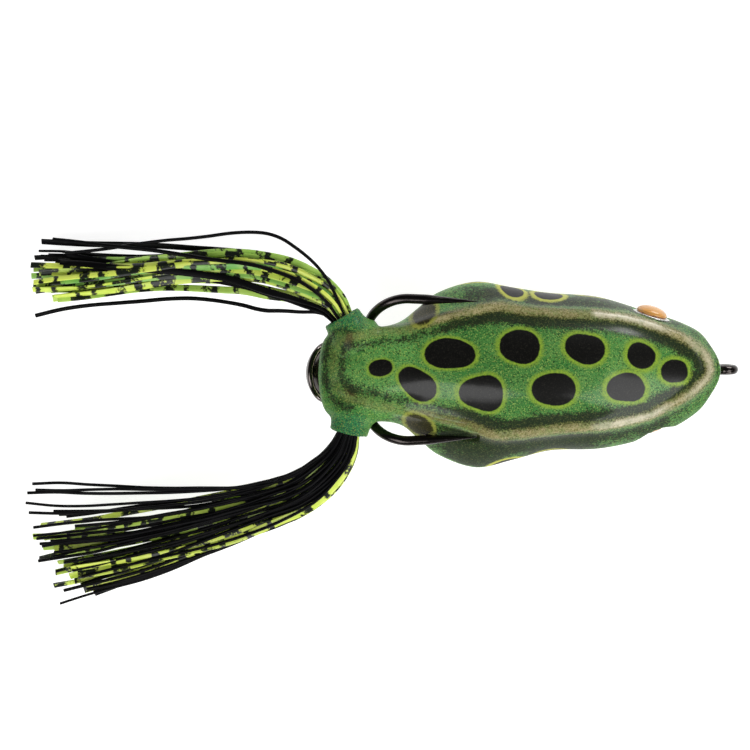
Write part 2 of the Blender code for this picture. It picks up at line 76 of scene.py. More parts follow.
# x, half width, lowest z, highest z, z of the widest line, roundness of the back, lean, bow, sway
BODY_ROWS = (
    (-32.4, 0.0, 15.0, 15.0, 15.0, 2.0, 0.0, 0.0, 0.0),
    (-32.0, 3.6, 12.9, 17.0, 15.0, 2.0, 0.0, 0.0, 0.0),
    (-31.1, 6.0, 11.9, 18.0, 15.0, 2.1, 0.0, 0.0, 0.0),
    (-29.0, 7.4, 11.3, 18.7, 15.0, 2.2, 0.0, 0.0, 0.0),
    (-25.5, 7.7, 11.0, 19.1, 15.0, 2.2, 0.0, 0.0, 0.0),
    (-22.0, 7.6, 9.4, 19.4, 14.4, 2.1, 0.0, 0.0, 0.0),
    (-19.0, 8.4, 4.6, 19.7, 13.0, 1.9, 0.0, 0.0, 0.0),
    (-16.4, 10.5, 0.5, 20.0, 11.6, 1.7, 0.0, 0.0, -0.2),
    (-13.0, 13.2, -0.7, 20.5, 10.4, 1.6, 0.0, 0.0, -0.35),
    (-7.0, 15.1, -0.9, 21.2, 9.4, 1.6, 0.0, 0.0, -0.6),
    (-1.0, 14.0, -0.9, 21.8, 9.4, 1.8, 0.0, 0.0, -0.45),
    (5.0, 12.75, -0.9, 21.9, 9.8, 2.0, 0.0, 0.0, -0.15),
    (12.5, 12.3, -0.5, 21.0, 10.2, 2.2, 0.0, 0.0, -0.35),
    (19.0, 10.7, 1.4, 19.3, 10.6, 2.3, 0.0, 0.0, -0.65),
    (24.5, 8.8, 4.0, 17.5, 11.0, 2.3, 0.1, 0.0, -0.5),
    (28.2, 6.95, 6.5, 15.9, 11.3, 2.2, 0.3, 0.2, -0.2),
    (30.0, 5.5, 7.8, 15.0, 11.4, 2.1, 0.6, 0.5, 0.0),
    (31.1, 4.1, 8.5, 14.3, 11.2, 2.0, 0.9, 1.2, 0.1),
    (30.5, 2.8, 8.9, 13.5, 10.9, 2.0, 0.8, 0.8, 0.1),
    (29.8, 1.9, 9.3, 12.2, 10.6, 2.0, 0.3, 0.2, 0.0),
    (29.5, 0.0, 10.5, 10.5, 10.5, 2.0, 0.0, 0.0, 0.0),
)
NOSE_ROW = 17  # the row that reaches furthest forward; the rows after it are the cup
BELLY_ROUNDNESS = 2.5
WALL = 1.6 * MM
CAVITY_ROWS = (1.6, 14.6)

SLEEVE_Z = 15.2 * MM
SLEEVE_BORE = 2.5 * MM
SLEEVE_LENGTH = 6.5 * MM
SLEEVE_PROFILE = (  # radius and height from the rim, from the mouth back into the tail
    (0.0, 0.0), (2.75, 0.0), (3.0, -0.08), (3.1, -0.3), (3.1, -0.8), (3.15, -1.3), (3.3, -1.9), (3.55, -2.4),
    (3.9, -2.85), (4.4, -3.2), (4.4, -5.5), (0.0, -6.5),
)
LEG_RIM = {"left": (-28.6 * MM, 9.3 * MM), "right": (-27.6 * MM, -9.4 * MM)}
LEG_HEADING = {"left": radians(119.0), "right": radians(-103.0)}

WIRE_RADIUS = 0.78 * MM
EYE_FRONT_X = 34.55 * MM
EYE_RADIUS = 1.45 * MM
EYE_NECK_X = 32.1 * MM
NOSE_Z = 10.5 * MM
SHANK_Z = 3.6 * MM
NOSE_OFFSET = 0.84 * MM
SHANK_OFFSET = 1.2 * MM
RISE_X = (5.0 * MM, 25.5 * MM)
BEND_X = -18.0 * MM
BEND_BACK = 6.5 * MM  # how far each bend reaches back from its crest
BEND_TOP = (11.3 * MM, 16.7 * MM)
POINT_TIP = (-6.9 * MM, 10.75 * MM, 17.2 * MM)
PRONG_LEAN = (0.8 * MM, 0.8 * MM)
TAPER_SHARE = 0.72
BARB_SHARE = 0.66
BARB_LENGTH = 1.6 * MM
BARB_LIFT = 0.8 * MM
WIRE_ROOM_END_X = -4.0 * MM

BARREL = (-14.5 * MM, -5.0 * MM)
BARREL_HALF = (3.5 * MM, 2.7 * MM)
BARREL_Z = 4.65 * MM
STEM_RADIUS = 0.9 * MM
DISC_CENTRE = Vector((-30.9, 0.0, 9.0)) * MM
DISC_TILT = radians(51.0)

EYE_CENTRE = {"left": Vector((21.4, 9.25, 12.1)) * MM, "right": Vector((21.4, -9.2, 12.1)) * MM}
EYE_HEADING = radians(73.3)
EYE_UP_TILT = radians(6.0)
EYE_DISC_RADIUS = 3.1 * MM
SOCKET_DEPTH = 0.5 * MM
LENS_RADIUS = 2.5  # in millimetres, as is its height
LENS_HEIGHT = 1.15
# How the looks set each eye a little off its CAD place, so that the right one hides from above.
EYE_SET = {"left": Vector((-0.25, -0.15, -0.1)) * MM, "right": Vector((-0.2, 0.5, -0.65)) * MM}

# x, y, z, half width, half height of each bundle
LEG_LINES = {
    "left": (
        (-28.6, 9.3, 15.2, 1.75, 1.62), (-30.3, 11.7, 15.1, 2.5, 1.8), (-33.1, 13.7, 14.5, 3.3, 2.2),
        (-38.0, 15.8, 13.3, 3.9, 2.4), (-44.6, 17.2, 11.2, 4.1, 2.5), (-54.5, 17.3, 8.6, 4.2, 2.7),
        (-66.8, 16.6, 6.6, 5.2, 2.9), (-79.4, 16.2, 5.4, 6.5, 3.0),
    ),
    "right": (
        (-27.6, -9.4, 15.2, 1.75, 1.62), (-28.7, -12.4, 15.1, 2.5, 1.8), (-31.2, -15.6, 14.5, 3.1, 2.2),
        (-35.6, -19.0, 13.3, 3.6, 2.4), (-42.0, -21.6, 11.2, 4.1, 2.5), (-52.4, -24.7, 8.6, 5.5, 2.7),
        (-66.0, -27.6, 6.6, 7.3, 2.9), (-79.4, -29.6, 5.4, 9.2, 3.0),
    ),
}
ROOT_DEPTH = 0.7 * MM
STRANDS_SHOWN = {"left": 42, "right": 44}
STRANDS_IN_CAD = 24
# Half width, half height, squareness and sides of each kind of strand, in millimetres.
STRAND_SECTIONS = {
    "barred": (0.52, 0.16, 3.2, 12),
    "barred_wide": (0.65, 0.16, 3.2, 12),
    "flat": (0.5, 0.18, 3.2, 12),
    "black": (0.24, 0.24, 2.4, 10),
    "thick": (0.3, 0.26, 2.8, 10),
}
# Strands listed one by one: place across the bundle at its mouth, midway and at its end, above 0 on the
# outer side; place up; share of the full length; kind.
STRAYS = {
    "left": (
        (-0.9, -1.5, -1.0, 0.2, 0.995, "thick"), (0.3, 1.62, 0.55, 0.9, 0.93, "thick"),
        (-0.35, 0.1, 0.75, 1.25, 0.95, "thick"), (-0.8, -0.7, 0.35, 1.0, 0.94, "flat"),
        (-0.95, -0.9, 0.5, 0.5, 0.95, "flat"), (-0.6, -0.85, 0.6, 0.1, 0.93, "flat"),
    ),
    "right": (
        (-0.9, -0.95, -1.26, 0.6, 0.985, "black"), (-0.8, -0.9, -1.16, 0.5, 0.995, "black"),
        (-0.85, -0.92, -1.08, 0.7, 0.98, "black"), (-0.75, -0.9, -0.98, 0.6, 1.0, "black"),
        (1.1, 0.72, 0.45, 0.7, 0.93, "barred_wide"), (0.95, 0.75, 0.2, 0.6, 0.95, "barred"),
        (0.8, 0.98, 0.95, 0.5, 0.9, "thick"), (0.7, 0.92, 0.85, 0.3, 0.92, "thick"),
        (0.6, 0.95, 0.9, 0.1, 0.91, "flat"), (0.5, 0.85, 0.78, 0.3, 0.93, "thick"),
    ),
}

# ---- values of the looks alone

# The pattern is laid out in plan, as if printed from the camera's height and slant.
PRINT_CENTRE = (-23.35, -0.3, 12.0)
VIEW_DISTANCE = 335.0
VIEW_TILT = radians(4.0)
VIEW_TURN = radians(-0.5)

# The ridge and stripe down each side of the back: x and y in plan.
STRIPES = {
    "left": (
        (-28.9, 5.3), (-26.9, 5.9), (-24.5, 6.3), (-21.9, 6.7), (-18.6, 7.0), (-16.2, 7.7), (-13.8, 8.5),
        (-10.9, 9.35), (-8.0, 10.0), (-5.0, 10.6), (-2.6, 10.75), (0.5, 10.2), (3.0, 9.9), (6.6, 9.7),
        (11.9, 9.5), (16.7, 9.0), (20.5, 8.0), (22.8, 7.2), (26.1, 5.8), (28.8, 4.0), (30.2, 2.2),
        (30.6, 0.4),
    ),
    "right": (
        (-29.0, -2.8), (-27.4, -3.9), (-24.1, -4.8), (-19.7, -5.9), (-13.8, -7.0), (-9.4, -8.1),
        (-5.9, -9.4), (-3.6, -10.0), (-0.7, -9.9), (2.3, -9.5), (6.7, -9.0), (10.1, -8.7), (14.0, -8.4),
        (18.0, -7.6), (20.8, -6.8), (23.8, -5.4), (27.0, -3.6), (29.4, -1.6), (30.4, -0.4), (30.6, 0.4),
    ),
}
# The olive band that closes the back's pattern at the tail.
TAIL_BAND = ((-28.6, 5.8), (-29.6, 4.0), (-30.0, 1.2), (-29.8, -1.2), (-29.0, -3.2), (-27.5, -4.4))
RIDGE_HEIGHT = 0.55 * MM
RIDGE_HALF_WIDTH = 0.8
GROOVE_DEPTH = 0.04 * MM
GROOVE_AT = 1.9
GROOVE_HALF_WIDTH = 0.75
# Spots of the back in plan: x, y, length, width, turn in degrees, lobe, lobe's turn, width of the ring.
SPOTS = (
    (-22.4, 0.85, 4.0, 2.8, 8.0, 0.0, 0.0, 0.3),
    (-16.4, -1.8, 6.9, 4.5, -38.0, 0.04, 20.0, 0.45),
    (-11.3, 3.15, 8.3, 4.9, -2.0, 0.03, -20.0, 0.5),
    (-6.0, -3.2, 7.2, 5.7, -6.0, 0.075, 180.0, 0.55),
    (0.05, 4.25, 6.6, 5.5, -10.0, 0.03, 60.0, 0.55),
    (5.5, -2.6, 7.2, 5.3, 0.0, 0.02, -60.0, 0.6),
    (10.5, 3.9, 6.6, 4.8, -14.0, 0.04, 150.0, 0.6),
    (17.1, -2.3, 6.2, 4.7, 0.0, 0.05, 80.0, 0.65),
    (19.5, 2.8, 4.7, 4.1, -30.0, 0.03, 0.0, 0.65),
    (24.85, 0.3, 4.4, 3.85, 0.0, 0.02, 90.0, 0.6),
)
# Spots of the flanks: x, z, length, height, turn in degrees.
FLANK_SPOTS = {
    "left": (
        (-8.0, 7.6, 6.8, 4.2, 10.0), (-1.2, 11.8, 3.4, 5.0, -22.0), (4.6, 12.3, 4.6, 4.2, -8.0),
        (11.6, 9.6, 4.4, 3.4, 0.0),
    ),
    "right": (
        (-9.0, 6.2, 6.8, 4.0, 10.0), (-2.2, 10.0, 4.9, 4.4, 10.0), (5.0, 10.4, 5.2, 4.4, 0.0),
        (11.6, 9.0, 4.6, 3.6, 0.0),
    ),
}
FLANK_RING = 0.8
# Speckled half-dark patches beside the neck, in plan.
PATCHES = ((-15.4, 9.6, 4.6, 3.2, 42.0), (-16.2, -8.3, 5.0, 3.0, -30.0))
SKIN_VOXEL = 0.27 * MM
SKIN_SMOOTHING = 3
SLEEVE_SMOOTHING = 6

CAMERA_CENTRE = Vector((-23.3, -0.3, 12.0)) * MM
LIT_PLACE = Vector((0.0, 0.0, 0.01))
# Softboxes, which all face the lit place: name, place, size, watts.
SOFTBOXES = (
    ("rear_key", (-0.33, -0.3, 0.6), (0.55, 0.4), 3.3),
    ("front_key", (0.45, -0.28, 0.6), (0.5, 0.4), 2.9),
    ("left_strip", (0.3, 0.52, 0.16), (0.34, 0.16), 2.4),
    ("right_strip", (0.3, -0.54, 0.13), (0.34, 0.13), 1.6),
)
FLOOR_Z = -0.4 * MM
FLOOR_GLOW = 0.8
ROOM_GLOW = 0.06


# ---- small tools

def ramp(values, start=0.0, run=1.0):
    """Eases from 0 at start to 1 at start + run; a run below 0 climbs toward lower values."""
    values = np.clip((values - start) / run, 0.0, 1.0)
    return values * values * (3.0 - 2.0 * values)


def row_value(rows, place):
    """The row at a place between rows, on a cubic through them."""
    rows = np.asarray(rows, dtype=float)
    slopes = np.gradient(rows, axis=0)
    index = min(int(place), len(rows) - 2)
    t = place - index
    return (
        (2 * t**3 - 3 * t**2 + 1) * rows[index]
        + (t**3 - 2 * t**2 + t) * slopes[index]
        + (3 * t**2 - 2 * t**3) * rows[index + 1]
        + (t**3 - t**2) * slopes[index + 1]
    )


def unit(vectors):
    return vectors / np.maximum(np.linalg.norm(vectors, axis=-1, keepdims=True), 1e-12)


def full_turn(count):
    return 2.0 * pi * np.arange(count) / count


def squared(values, power):
    """Cosines or sines pushed out toward a square corner, the more so the higher the power."""
    return np.sign(values) * np.abs(values) ** (2.0 / power)


def add_object(name, data):
    item = bpy.data.objects.new(name, data)
    bpy.context.scene.collection.objects.link(item)
    return item


def mesh_object(name, vertices, faces):
    data = bpy.data.meshes.new(name)
    data.from_pydata([tuple(v) for v in vertices], [], faces)
    data.update()
    data.shade_smooth()
    return add_object(name, data)


def float_attribute(item, name, values):
    made = item.data.attributes.new(name, "FLOAT", "POINT")
    made.data.foreach_set("value", np.asarray(values, dtype=np.float32))


def coordinates(item, field="co"):
    values = np.zeros(len(item.data.vertices) * 3, np.float32)
    item.data.vertices.foreach_get(field, values)
    return values.reshape(-1, 3).astype(float)


def move_points(item, points):
    item.data.vertices.foreach_set("co", points.astype(np.float32).ravel())
    item.data.update()


def shaded(item, sharp_degrees):
    item.data.shade_smooth()
    item.data.set_sharp_from_angle(angle=radians(sharp_degrees))
    return item


def standing(place, direction):
    """The transform that stands a thing made along Z at a place, along a direction."""
    return Matrix.Translation(place) @ direction.to_track_quat("Z", "Y").to_matrix().to_4x4()


def baked(item, name):
    """A new object with the item's modifiers applied; the item and its cutters are removed."""
    graph = bpy.context.evaluated_depsgraph_get()
    data = bpy.data.meshes.new_from_object(item.evaluated_get(graph))
    data.transform(item.matrix_world)
    helpers = [m.object for m in item.modifiers if m.type == "BOOLEAN"]
    for helper in helpers + [item]:
        bpy.data.objects.remove(helper, do_unlink=True)
    data.name = name
    return add_object(name, data)


def boolean(item, other, operation="DIFFERENCE"):
    modifier = item.modifiers.new(other.name, "BOOLEAN")
    modifier.operation = operation
    modifier.object = other
    modifier.solver = "EXACT"
    other.hide_render = True


def tube_faces(rings, sides, closed_ends=True):
    faces = []
    for low in range(0, (rings - 1) * sides, sides):
        for side in range(sides):
            after = (side + 1) % sides
            faces.append((low + side, low + after, low + sides + after, low + sides + side))
    if closed_ends:
        faces.append(tuple(reversed(range(sides))))
        faces.append(tuple((rings - 1) * sides + side for side in range(sides)))
    return faces


def fan_faces(rings, sides):
    """Faces of a tube whose two ends close in fans on the last two points."""
    faces = tube_faces(rings, sides, closed_ends=False)
    first, base = rings * sides, (rings - 1) * sides
    for side in range(sides):
        after = (side + 1) % sides
        faces.append((first, after, side))
        faces.append((first + 1, base + side, base + after))
    return faces


def running_lengths(points):
    """Length from the first point of a path to each of its points."""
    return np.concatenate([[0.0], np.cumsum(np.linalg.norm(np.diff(points, axis=0), axis=1))])


def swept(name, points, half_widths, half_heights, sides, power, twist):
    """A closed tube along points, with a superellipse section that is level where the twist is 0."""
    tangents = unit(np.gradient(points, axis=0))
    level = unit(np.cross((0.0, 0.0, 1.0), tangents))
    upright = np.cross(tangents, level)
    turn = np.asarray(twist)[:, None]
    sideways = level * np.cos(turn) + upright * np.sin(turn)
    upward = upright * np.cos(turn) - level * np.sin(turn)
    angles = 2.0 * pi * (np.arange(sides) + 0.5) / sides
    across = squared(np.cos(angles), power)
    up = squared(np.sin(angles), power)
    rings = (
        points[:, None]
        + sideways[:, None] * across[:, None] * half_widths[:, None, None]
        + upward[:, None] * up[:, None] * half_heights[:, None, None]
    )
    item = mesh_object(name, rings.reshape(-1, 3), tube_faces(len(points), sides))
    item.data.set_sharp_from_angle(angle=radians(50.0))
    float_attribute(item, "along", np.repeat(running_lengths(points) / MM, sides))
    return item


def resampled(points, count):
    """Points evenly spaced along a smooth curve through the given points."""
    points = np.asarray(points, dtype=float)
    places = np.linspace(0, len(points) - 1, 12 * len(points))
    dense = np.array([row_value(points, place) for place in places])
    lengths = running_lengths(dense)
    places = np.linspace(0.0, lengths[-1], count)
    return np.stack([np.interp(places, lengths, column) for column in dense.T], axis=1)


def turned(name, profile, steps):
    """A closed solid of revolution about Z; its profile runs from the axis's top round to its bottom."""
    profile = np.asarray(profile, dtype=float) * MM
    inner = profile[1:-1]
    vertices = [(r * cos(a), r * sin(a), z) for r, z in inner for a in full_turn(steps)]
    vertices += [(0.0, 0.0, profile[0][1]), (0.0, 0.0, profile[-1][1])]
    return mesh_object(name, vertices, [(face[0], *face[:0:-1]) for face in fan_faces(len(inner), steps)])


def oval_tube(name, stations, segments=40):
    """A solid along X through ovals: x, half width, half height, z of the middle."""
    vertices = [
        (x, half_width * cos(turn), middle + half_height * sin(turn))
        for x, half_width, half_height, middle in stations for turn in full_turn(segments)
    ]
    return mesh_object(name, vertices, tube_faces(len(stations), segments))


def oval_bore(name, start, end, *oval):
    """A cutter along X with the same oval at both ends."""
    return oval_tube(name, [(start, *oval), (end, *oval)])


def between(name, start, end, radius, segments=48, end_radius=None, flatness=1.0):
    """A cylinder from start to end, or a cone; flatness squeezes it across."""
    mesh = bmesh.new()
    run = end - start
    bmesh.ops.create_cone(
        mesh, cap_ends=True, segments=segments, depth=run.length,
        radius1=radius, radius2=end_radius or radius,
    )
    mesh.transform(Matrix.Diagonal((1.0, flatness, 1.0, 1.0)))
    mesh.transform(standing((start + end) / 2.0, run))
    data = bpy.data.meshes.new(name)
    mesh.to_mesh(data)
    mesh.free()
    return add_object(name, data)


# ---- materials

class Nodes:
    """A short way to write a material's node tree."""

    def __init__(self, name):
        self.material = bpy.data.materials.new(name)
        self.material.use_nodes = True
        self.tree = self.material.node_tree
        self.shader = self.tree.nodes["Principled BSDF"]
        self.coordinates = self.tree.nodes.new("ShaderNodeTexCoord").outputs["Object"]

    def feed(self, socket, source):
        if isinstance(source, bpy.types.NodeSocket):
            self.tree.links.new(source, socket)
        else:
            socket.default_value = (*source, 1.0) if isinstance(source, tuple) else source

    def set(self, **values):
        for name, value in values.items():
            self.feed(self.shader.inputs[name.replace("_", " ")], value)

    def add(self, kind, inputs, **settings):
        node = self.tree.nodes.new("ShaderNode" + kind)
        for name, value in settings.items():
            setattr(node, name, value)
        for name, value in inputs.items():
            self.feed(node.inputs[name], value)
        return node

    def attribute(self, name):
        return self.add("Attribute", {}, attribute_name=name).outputs["Fac"]

    def math(self, operation, *values):
        return self.add("Math", dict(enumerate(values)), operation=operation).outputs[0]

    def times(self, first, second):
        return self.math("MULTIPLY", first, second)

    def around(self, source, amount):
        """The source with its middle moved from 0.5 to 0, times an amount."""
        return self.times(self.math("SUBTRACT", source, 0.5), amount)

    def plus(self, total, *parts):
        for part in parts:
            total = self.math("ADD", total, part)
        return total

    def range(self, value, low, high, to_low=0.0, to_high=1.0, easing="SMOOTHSTEP"):
        ends = {"Value": value, "From Min": low, "From Max": high, "To Min": to_low, "To Max": to_high}
        return self.add("MapRange", ends, interpolation_type=easing).outputs["Result"]

    def mix(self, amount, first, second):
        node = self.add("Mix", {}, data_type="RGBA")
        for name, value in (("Factor", amount), ("A", first), ("B", second)):
            self.feed(node.inputs[name], value)
        return node.outputs["Result"]

    def fade(self, source, low, high, first, second):
        """One colour giving way to another while the source climbs from low to high."""
        return self.mix(self.range(source, low, high), first, second)

    def texture(self, kind, size_mm, **inputs):
        inputs = {"Vector": self.coordinates, "Scale": 1.0 / (size_mm * MM), **inputs}
        return self.add(kind, inputs).outputs

    def noise(self, size_mm, detail=2.0, roughness=0.5):
        return self.texture("TexNoise", size_mm, Detail=detail, Roughness=roughness)["Fac"]

    def cells(self, size_mm, output="Color"):
        return self.texture("TexVoronoi", size_mm)[output]

    def bump(self, height, distance_mm, strength):
        inputs = {"Distance": distance_mm * MM, "Strength": strength, "Height": height}
        self.set(Normal=self.add("Bump", inputs).outputs["Normal"])

    def roughness(self, source, low, high, smoothest, roughest):
        self.set(Roughness=self.range(source, low, high, smoothest, roughest, "LINEAR"))


def skin_material():
    """Airbrushed frog skin: stippled green, tan stripes shaded in olive, ringed black spots, cream belly;
    with painted highlight on the front ridges and stripes, painted rim light on the left haunch and painted
    shade on the right haunch and flank.
    """
    n = Nodes("frog_skin")
    patch = n.noise(1.8, 3.0, 0.6)
    grain = n.noise(0.30, 2.0, 0.75)
    grit = n.noise(0.22, 1.0, 0.8)
    mist = n.noise(0.6, 3.0, 0.8)
    blotch = n.noise(2.6, 3.0, 0.7)

    def ragged(source, *shares):
        """A field with its edges broken up by shares of the grain, the mist and the patches."""
        return n.plus(source, *[n.around(part, share) for part, share in zip((grain, mist, patch), shares)])

    green = n.fade(n.noise(7.0, 2.0), 0.35, 0.65, (0.045, 0.185, 0.036), (0.085, 0.24, 0.055))
    # Paler green on the neck and near the eyes, plus painted rim light along the outline of the left haunch.
    green = n.mix(n.attribute("pale_paint_and_rim_light"), green, (0.12, 0.34, 0.08))
    green = n.mix(n.range(patch, 0.46, 0.7, 0.0, 0.55), green, (0.028, 0.15, 0.03))
    green = n.mix(n.range(grain, 0.48, 0.66, 0.0, 0.85), green, (0.014, 0.05, 0.012))
    colour = n.mix(n.range(grit, 0.54, 0.68, 0.0, 0.8), green, (0.3, 0.44, 0.09))

    # Olive black paint, with painted shade on the right haunch and flank.
    dark = n.range(ragged(n.attribute("dark_paint_and_painted_shade"), 1.1, 0.7, 0.9), 0.15, 0.85)
    olive_black = n.fade(grit, 0.5, 0.7, (0.008, 0.011, 0.005), (0.045, 0.05, 0.018))
    colour = n.mix(n.times(dark, 0.93), colour, olive_black)

    edge = ragged(n.math("ABSOLUTE", n.attribute("stripe")), 0.9, 0.8, 0.5)
    olive = n.times(n.range(edge, 0.45, 1.25, 0.85, 0.0), n.attribute("olive"))
    olive = n.times(olive, n.range(blotch, 0.4, 0.56, 0.6, 1.0))
    colour = n.mix(olive, colour, n.fade(grit, 0.42, 0.66, (0.085, 0.06, 0.015), (0.2, 0.17, 0.05)))
    # The tan amount includes painted highlight toward the front of the stripes and midway along the left
    # one.
    tan_and_highlight = n.times(n.range(edge, 0.0, 0.95, 0.9, 0.0), n.attribute("tan_and_highlight"))
    tan_and_highlight = n.times(tan_and_highlight, n.range(blotch, 0.36, 0.56, 0.55, 1.0))
    tan_colour = n.fade(grain, 0.4, 0.62, (0.46, 0.4, 0.21), (0.24, 0.23, 0.09))
    # The cream that the crest field mixes in is painted highlight on the front ridges, and cream nose paint
    # ahead of them.
    colour = n.mix(tan_and_highlight, colour, n.mix(n.attribute("crest"), tan_colour, (0.68, 0.63, 0.46)))

    patches = ragged(n.attribute("patches"), 0.9, 0.5)
    colour = n.mix(n.range(patches, 0.2, 0.65, 0.85, 0.0), colour, (0.28, 0.3, 0.05))
    soot = n.fade(grit, 0.5, 0.75, (0.01, 0.008, 0.004), (0.08, 0.06, 0.02))
    colour = n.mix(n.range(patches, -0.35, 0.15, 0.95, 0.0), colour, soot)

    teal = n.fade(grain, 0.4, 0.6, (0.03, 0.2, 0.06), (0.01, 0.07, 0.035))
    teal = n.mix(n.range(grit, 0.56, 0.66, 0.0, 0.6), teal, (0.3, 0.34, 0.05))
    colour = n.mix(n.attribute("sleeve"), colour, teal)

    spot = ragged(n.attribute("spots"), 0.0, 0.25, 0.2)
    ring_width = n.attribute("ring_width")
    ring_edge = ragged(n.math("SUBTRACT", spot, ring_width), 0.7, 0.4)
    ring_colour = n.fade(grit, 0.42, 0.66, (0.27, 0.4, 0.035), (0.13, 0.25, 0.03))
    ring_colour = n.fade(ring_width, 0.7, 0.78, ring_colour, (0.46, 0.48, 0.06))
    colour = n.mix(n.range(ring_edge, -0.4, 0.3, 0.9, 0.0), colour, ring_colour)
    dust = n.fade(grit, 0.52, 0.74, (0.002, 0.002, 0.0015), (0.014, 0.013, 0.01))
    colour = n.mix(n.range(spot, -0.14, 0.08, 1.0, 0.0), colour, dust)

    cream = n.fade(patch, 0.4, 0.7, (0.62, 0.64, 0.42), (0.42, 0.52, 0.22))
    colour = n.fade(ragged(n.attribute("belly"), 0.5, 0.35), 0.3, 0.8, colour, cream)
    colour = n.mix(n.attribute("inside"), colour, (0.45, 0.5, 0.35))
    coat = n.times(n.attribute("gloss"), 0.36)
    n.set(Base_Color=colour, Coat_Weight=coat, Coat_Roughness=0.15, Specular_IOR_Level=0.1)
    n.roughness(mist, 0.3, 0.7, 0.42, 0.58)
    n.bump(mist, 0.012, 0.5)
    return n.material


def black_nickel(name, tint, roughness):
    n = Nodes(name)
    # A cream painted highlight along the top of the disc's rim, where the metal turns non-metallic.
    painted_rim_highlight = n.attribute("painted_rim_highlight")
    scratch = n.noise(0.25, 2.0)
    metal = n.fade(n.noise(3.0, 2.0), 0.3, 0.7, tint, tuple(0.6 * part for part in tint))
    n.set(Base_Color=n.fade(painted_rim_highlight, 0.2, 0.7, metal, (0.75, 0.62, 0.42)))
    n.set(Metallic=n.range(painted_rim_highlight, 0.2, 0.7, 1.0, 0.0))
    n.roughness(scratch, 0.3, 0.75, roughness, roughness + 0.1)
    n.bump(scratch, 0.004, 0.6)
    return n.material


def rubber_material(name, base, roughness):
    n = Nodes(name)
    fine = n.noise(0.18, 2.0)
    lighter = tuple(part * 1.6 + 0.0005 for part in base)
    n.set(Base_Color=n.fade(n.noise(4.0, 2.0), 0.35, 0.7, base, lighter), Specular_IOR_Level=0.05)
    n.roughness(fine, 0.3, 0.7, roughness - 0.07, roughness + 0.12)
    n.bump(fine, 0.02, 0.7)
    return n.material


def barred_material():
    """Flat silicone strand: chartreuse to green along its length, barred in black, with metal flecks."""
    n = Nodes("barred_silicone")
    ragged = n.noise(0.4, 2.0, 0.6)
    place = n.plus(n.attribute("along"), n.times(n.attribute("phase"), 37.0))
    wander = n.add("TexNoise", {"Scale": 0.2, "Detail": 1.0}, noise_dimensions="1D")
    n.feed(wander.inputs["W"], place)
    wave = n.times(n.plus(place, n.around(wander.outputs["Fac"], 8.0)), 2.0 * pi / 5.4)
    edge = n.plus(n.math("SINE", wave), n.around(ragged, 2.2), n.around(n.noise(1.1, 2.0), 2.4))

    yellow = n.mix(n.noise(2.0, 2.0), (0.52, 0.7, 0.045), (0.84, 0.9, 0.2))
    green = n.mix(n.noise(2.0, 2.0), (0.09, 0.4, 0.08), (0.36, 0.64, 0.14))
    colour = n.mix(n.attribute("hue"), yellow, green)
    lucky = n.range(n.noise(0.5, 1.0), 0.62, 0.66)
    gold = n.times(n.range(n.cells(0.22, "Distance"), 0.16, 0.24, 1.0, 0.0), lucky)
    colour = n.mix(n.times(gold, 0.75), colour, (0.75, 0.42, 0.05))
    colour = n.fade(edge, 0.1, 0.75, colour, (0.008, 0.012, 0.007))
    n.set(Base_Color=colour, Specular_IOR_Level=0.25, Coat_Weight=0.08, Coat_Roughness=0.15)
    n.roughness(ragged, 0.3, 0.7, 0.26, 0.4)
    n.bump(ragged, 0.015, 0.6)
    return n.material


def foil_material():
    """Eye foil: black pupil, amber iris and a silver glitter rim, by distance from the eye's middle."""
    n = Nodes("eye_foil")
    cell = n.cells(0.16)
    radius = n.plus(n.attribute("radius"), n.around(n.noise(0.3, 2.0), 0.2))
    colour = n.mix(cell, (0.28, 0.28, 0.27), (0.95, 0.95, 0.92))
    amber = n.mix(n.noise(2.0, 0.0), (0.80, 0.32, 0.03), (0.92, 0.48, 0.08))
    layers = ((2.35, 2.45, (0.015, 0.012, 0.01)), (2.2, 2.3, amber), (1.0, 1.1, (0.008, 0.008, 0.008)))
    for low, high, layer in layers:
        colour = n.mix(n.range(radius, low, high, 1.0, 0.0), colour, layer)
    n.set(Base_Color=colour, Metallic=0.75)
    n.roughness(cell, 0.0, 1.0, 0.15, 0.5)
    n.bump(cell, 0.006, 0.6)
    return n.material


def lens_material():
    n = Nodes("eye_lens")
    n.set(Base_Color=n.mix(n.noise(1.5, 2.0), (0.85, 0.42, 0.1), (0.95, 0.55, 0.18)), Roughness=0.08)
    n.set(Transmission_Weight=0.45, IOR=1.45, Coat_Weight=0.3, Coat_Roughness=0.05)
    return n.material


def grommet_material():
    n = Nodes("cloudy_grommet")
    cloud = n.noise(0.8, 3.0)
    n.set(Base_Color=n.fade(cloud, 0.3, 0.7, (0.78, 0.82, 0.8), (0.6, 0.66, 0.62)))
    n.set(Transmission_Weight=0.25, IOR=1.45)
    n.roughness(cloud, 0.3, 0.7, 0.3, 0.45)
    n.bump(n.noise(0.3, 2.0), 0.015, 0.5)
    return n.material


def floor_material():
    n = Nodes("light_table")
    n.set(Base_Color=n.mix(n.noise(40.0, 2.0), (0.5, 0.5, 0.5), (0.52, 0.52, 0.52)), Roughness=0.9)
    n.set(Specular_IOR_Level=0.0, Emission_Color=(1.0, 1.0, 1.0), Emission_Strength=FLOOR_GLOW)
    return n.material


def give(item, material, body=None, slot=None, *nodes):
    """Hands a finished piece its material and its body, and hides the CAD nodes that it stands for. The slot
    is not used.
    """
    item.data.materials.clear()
    item.data.materials.append(material)
    if body:
        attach(item, body)
    if nodes:
        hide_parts(*nodes)
    return item


# ---- body

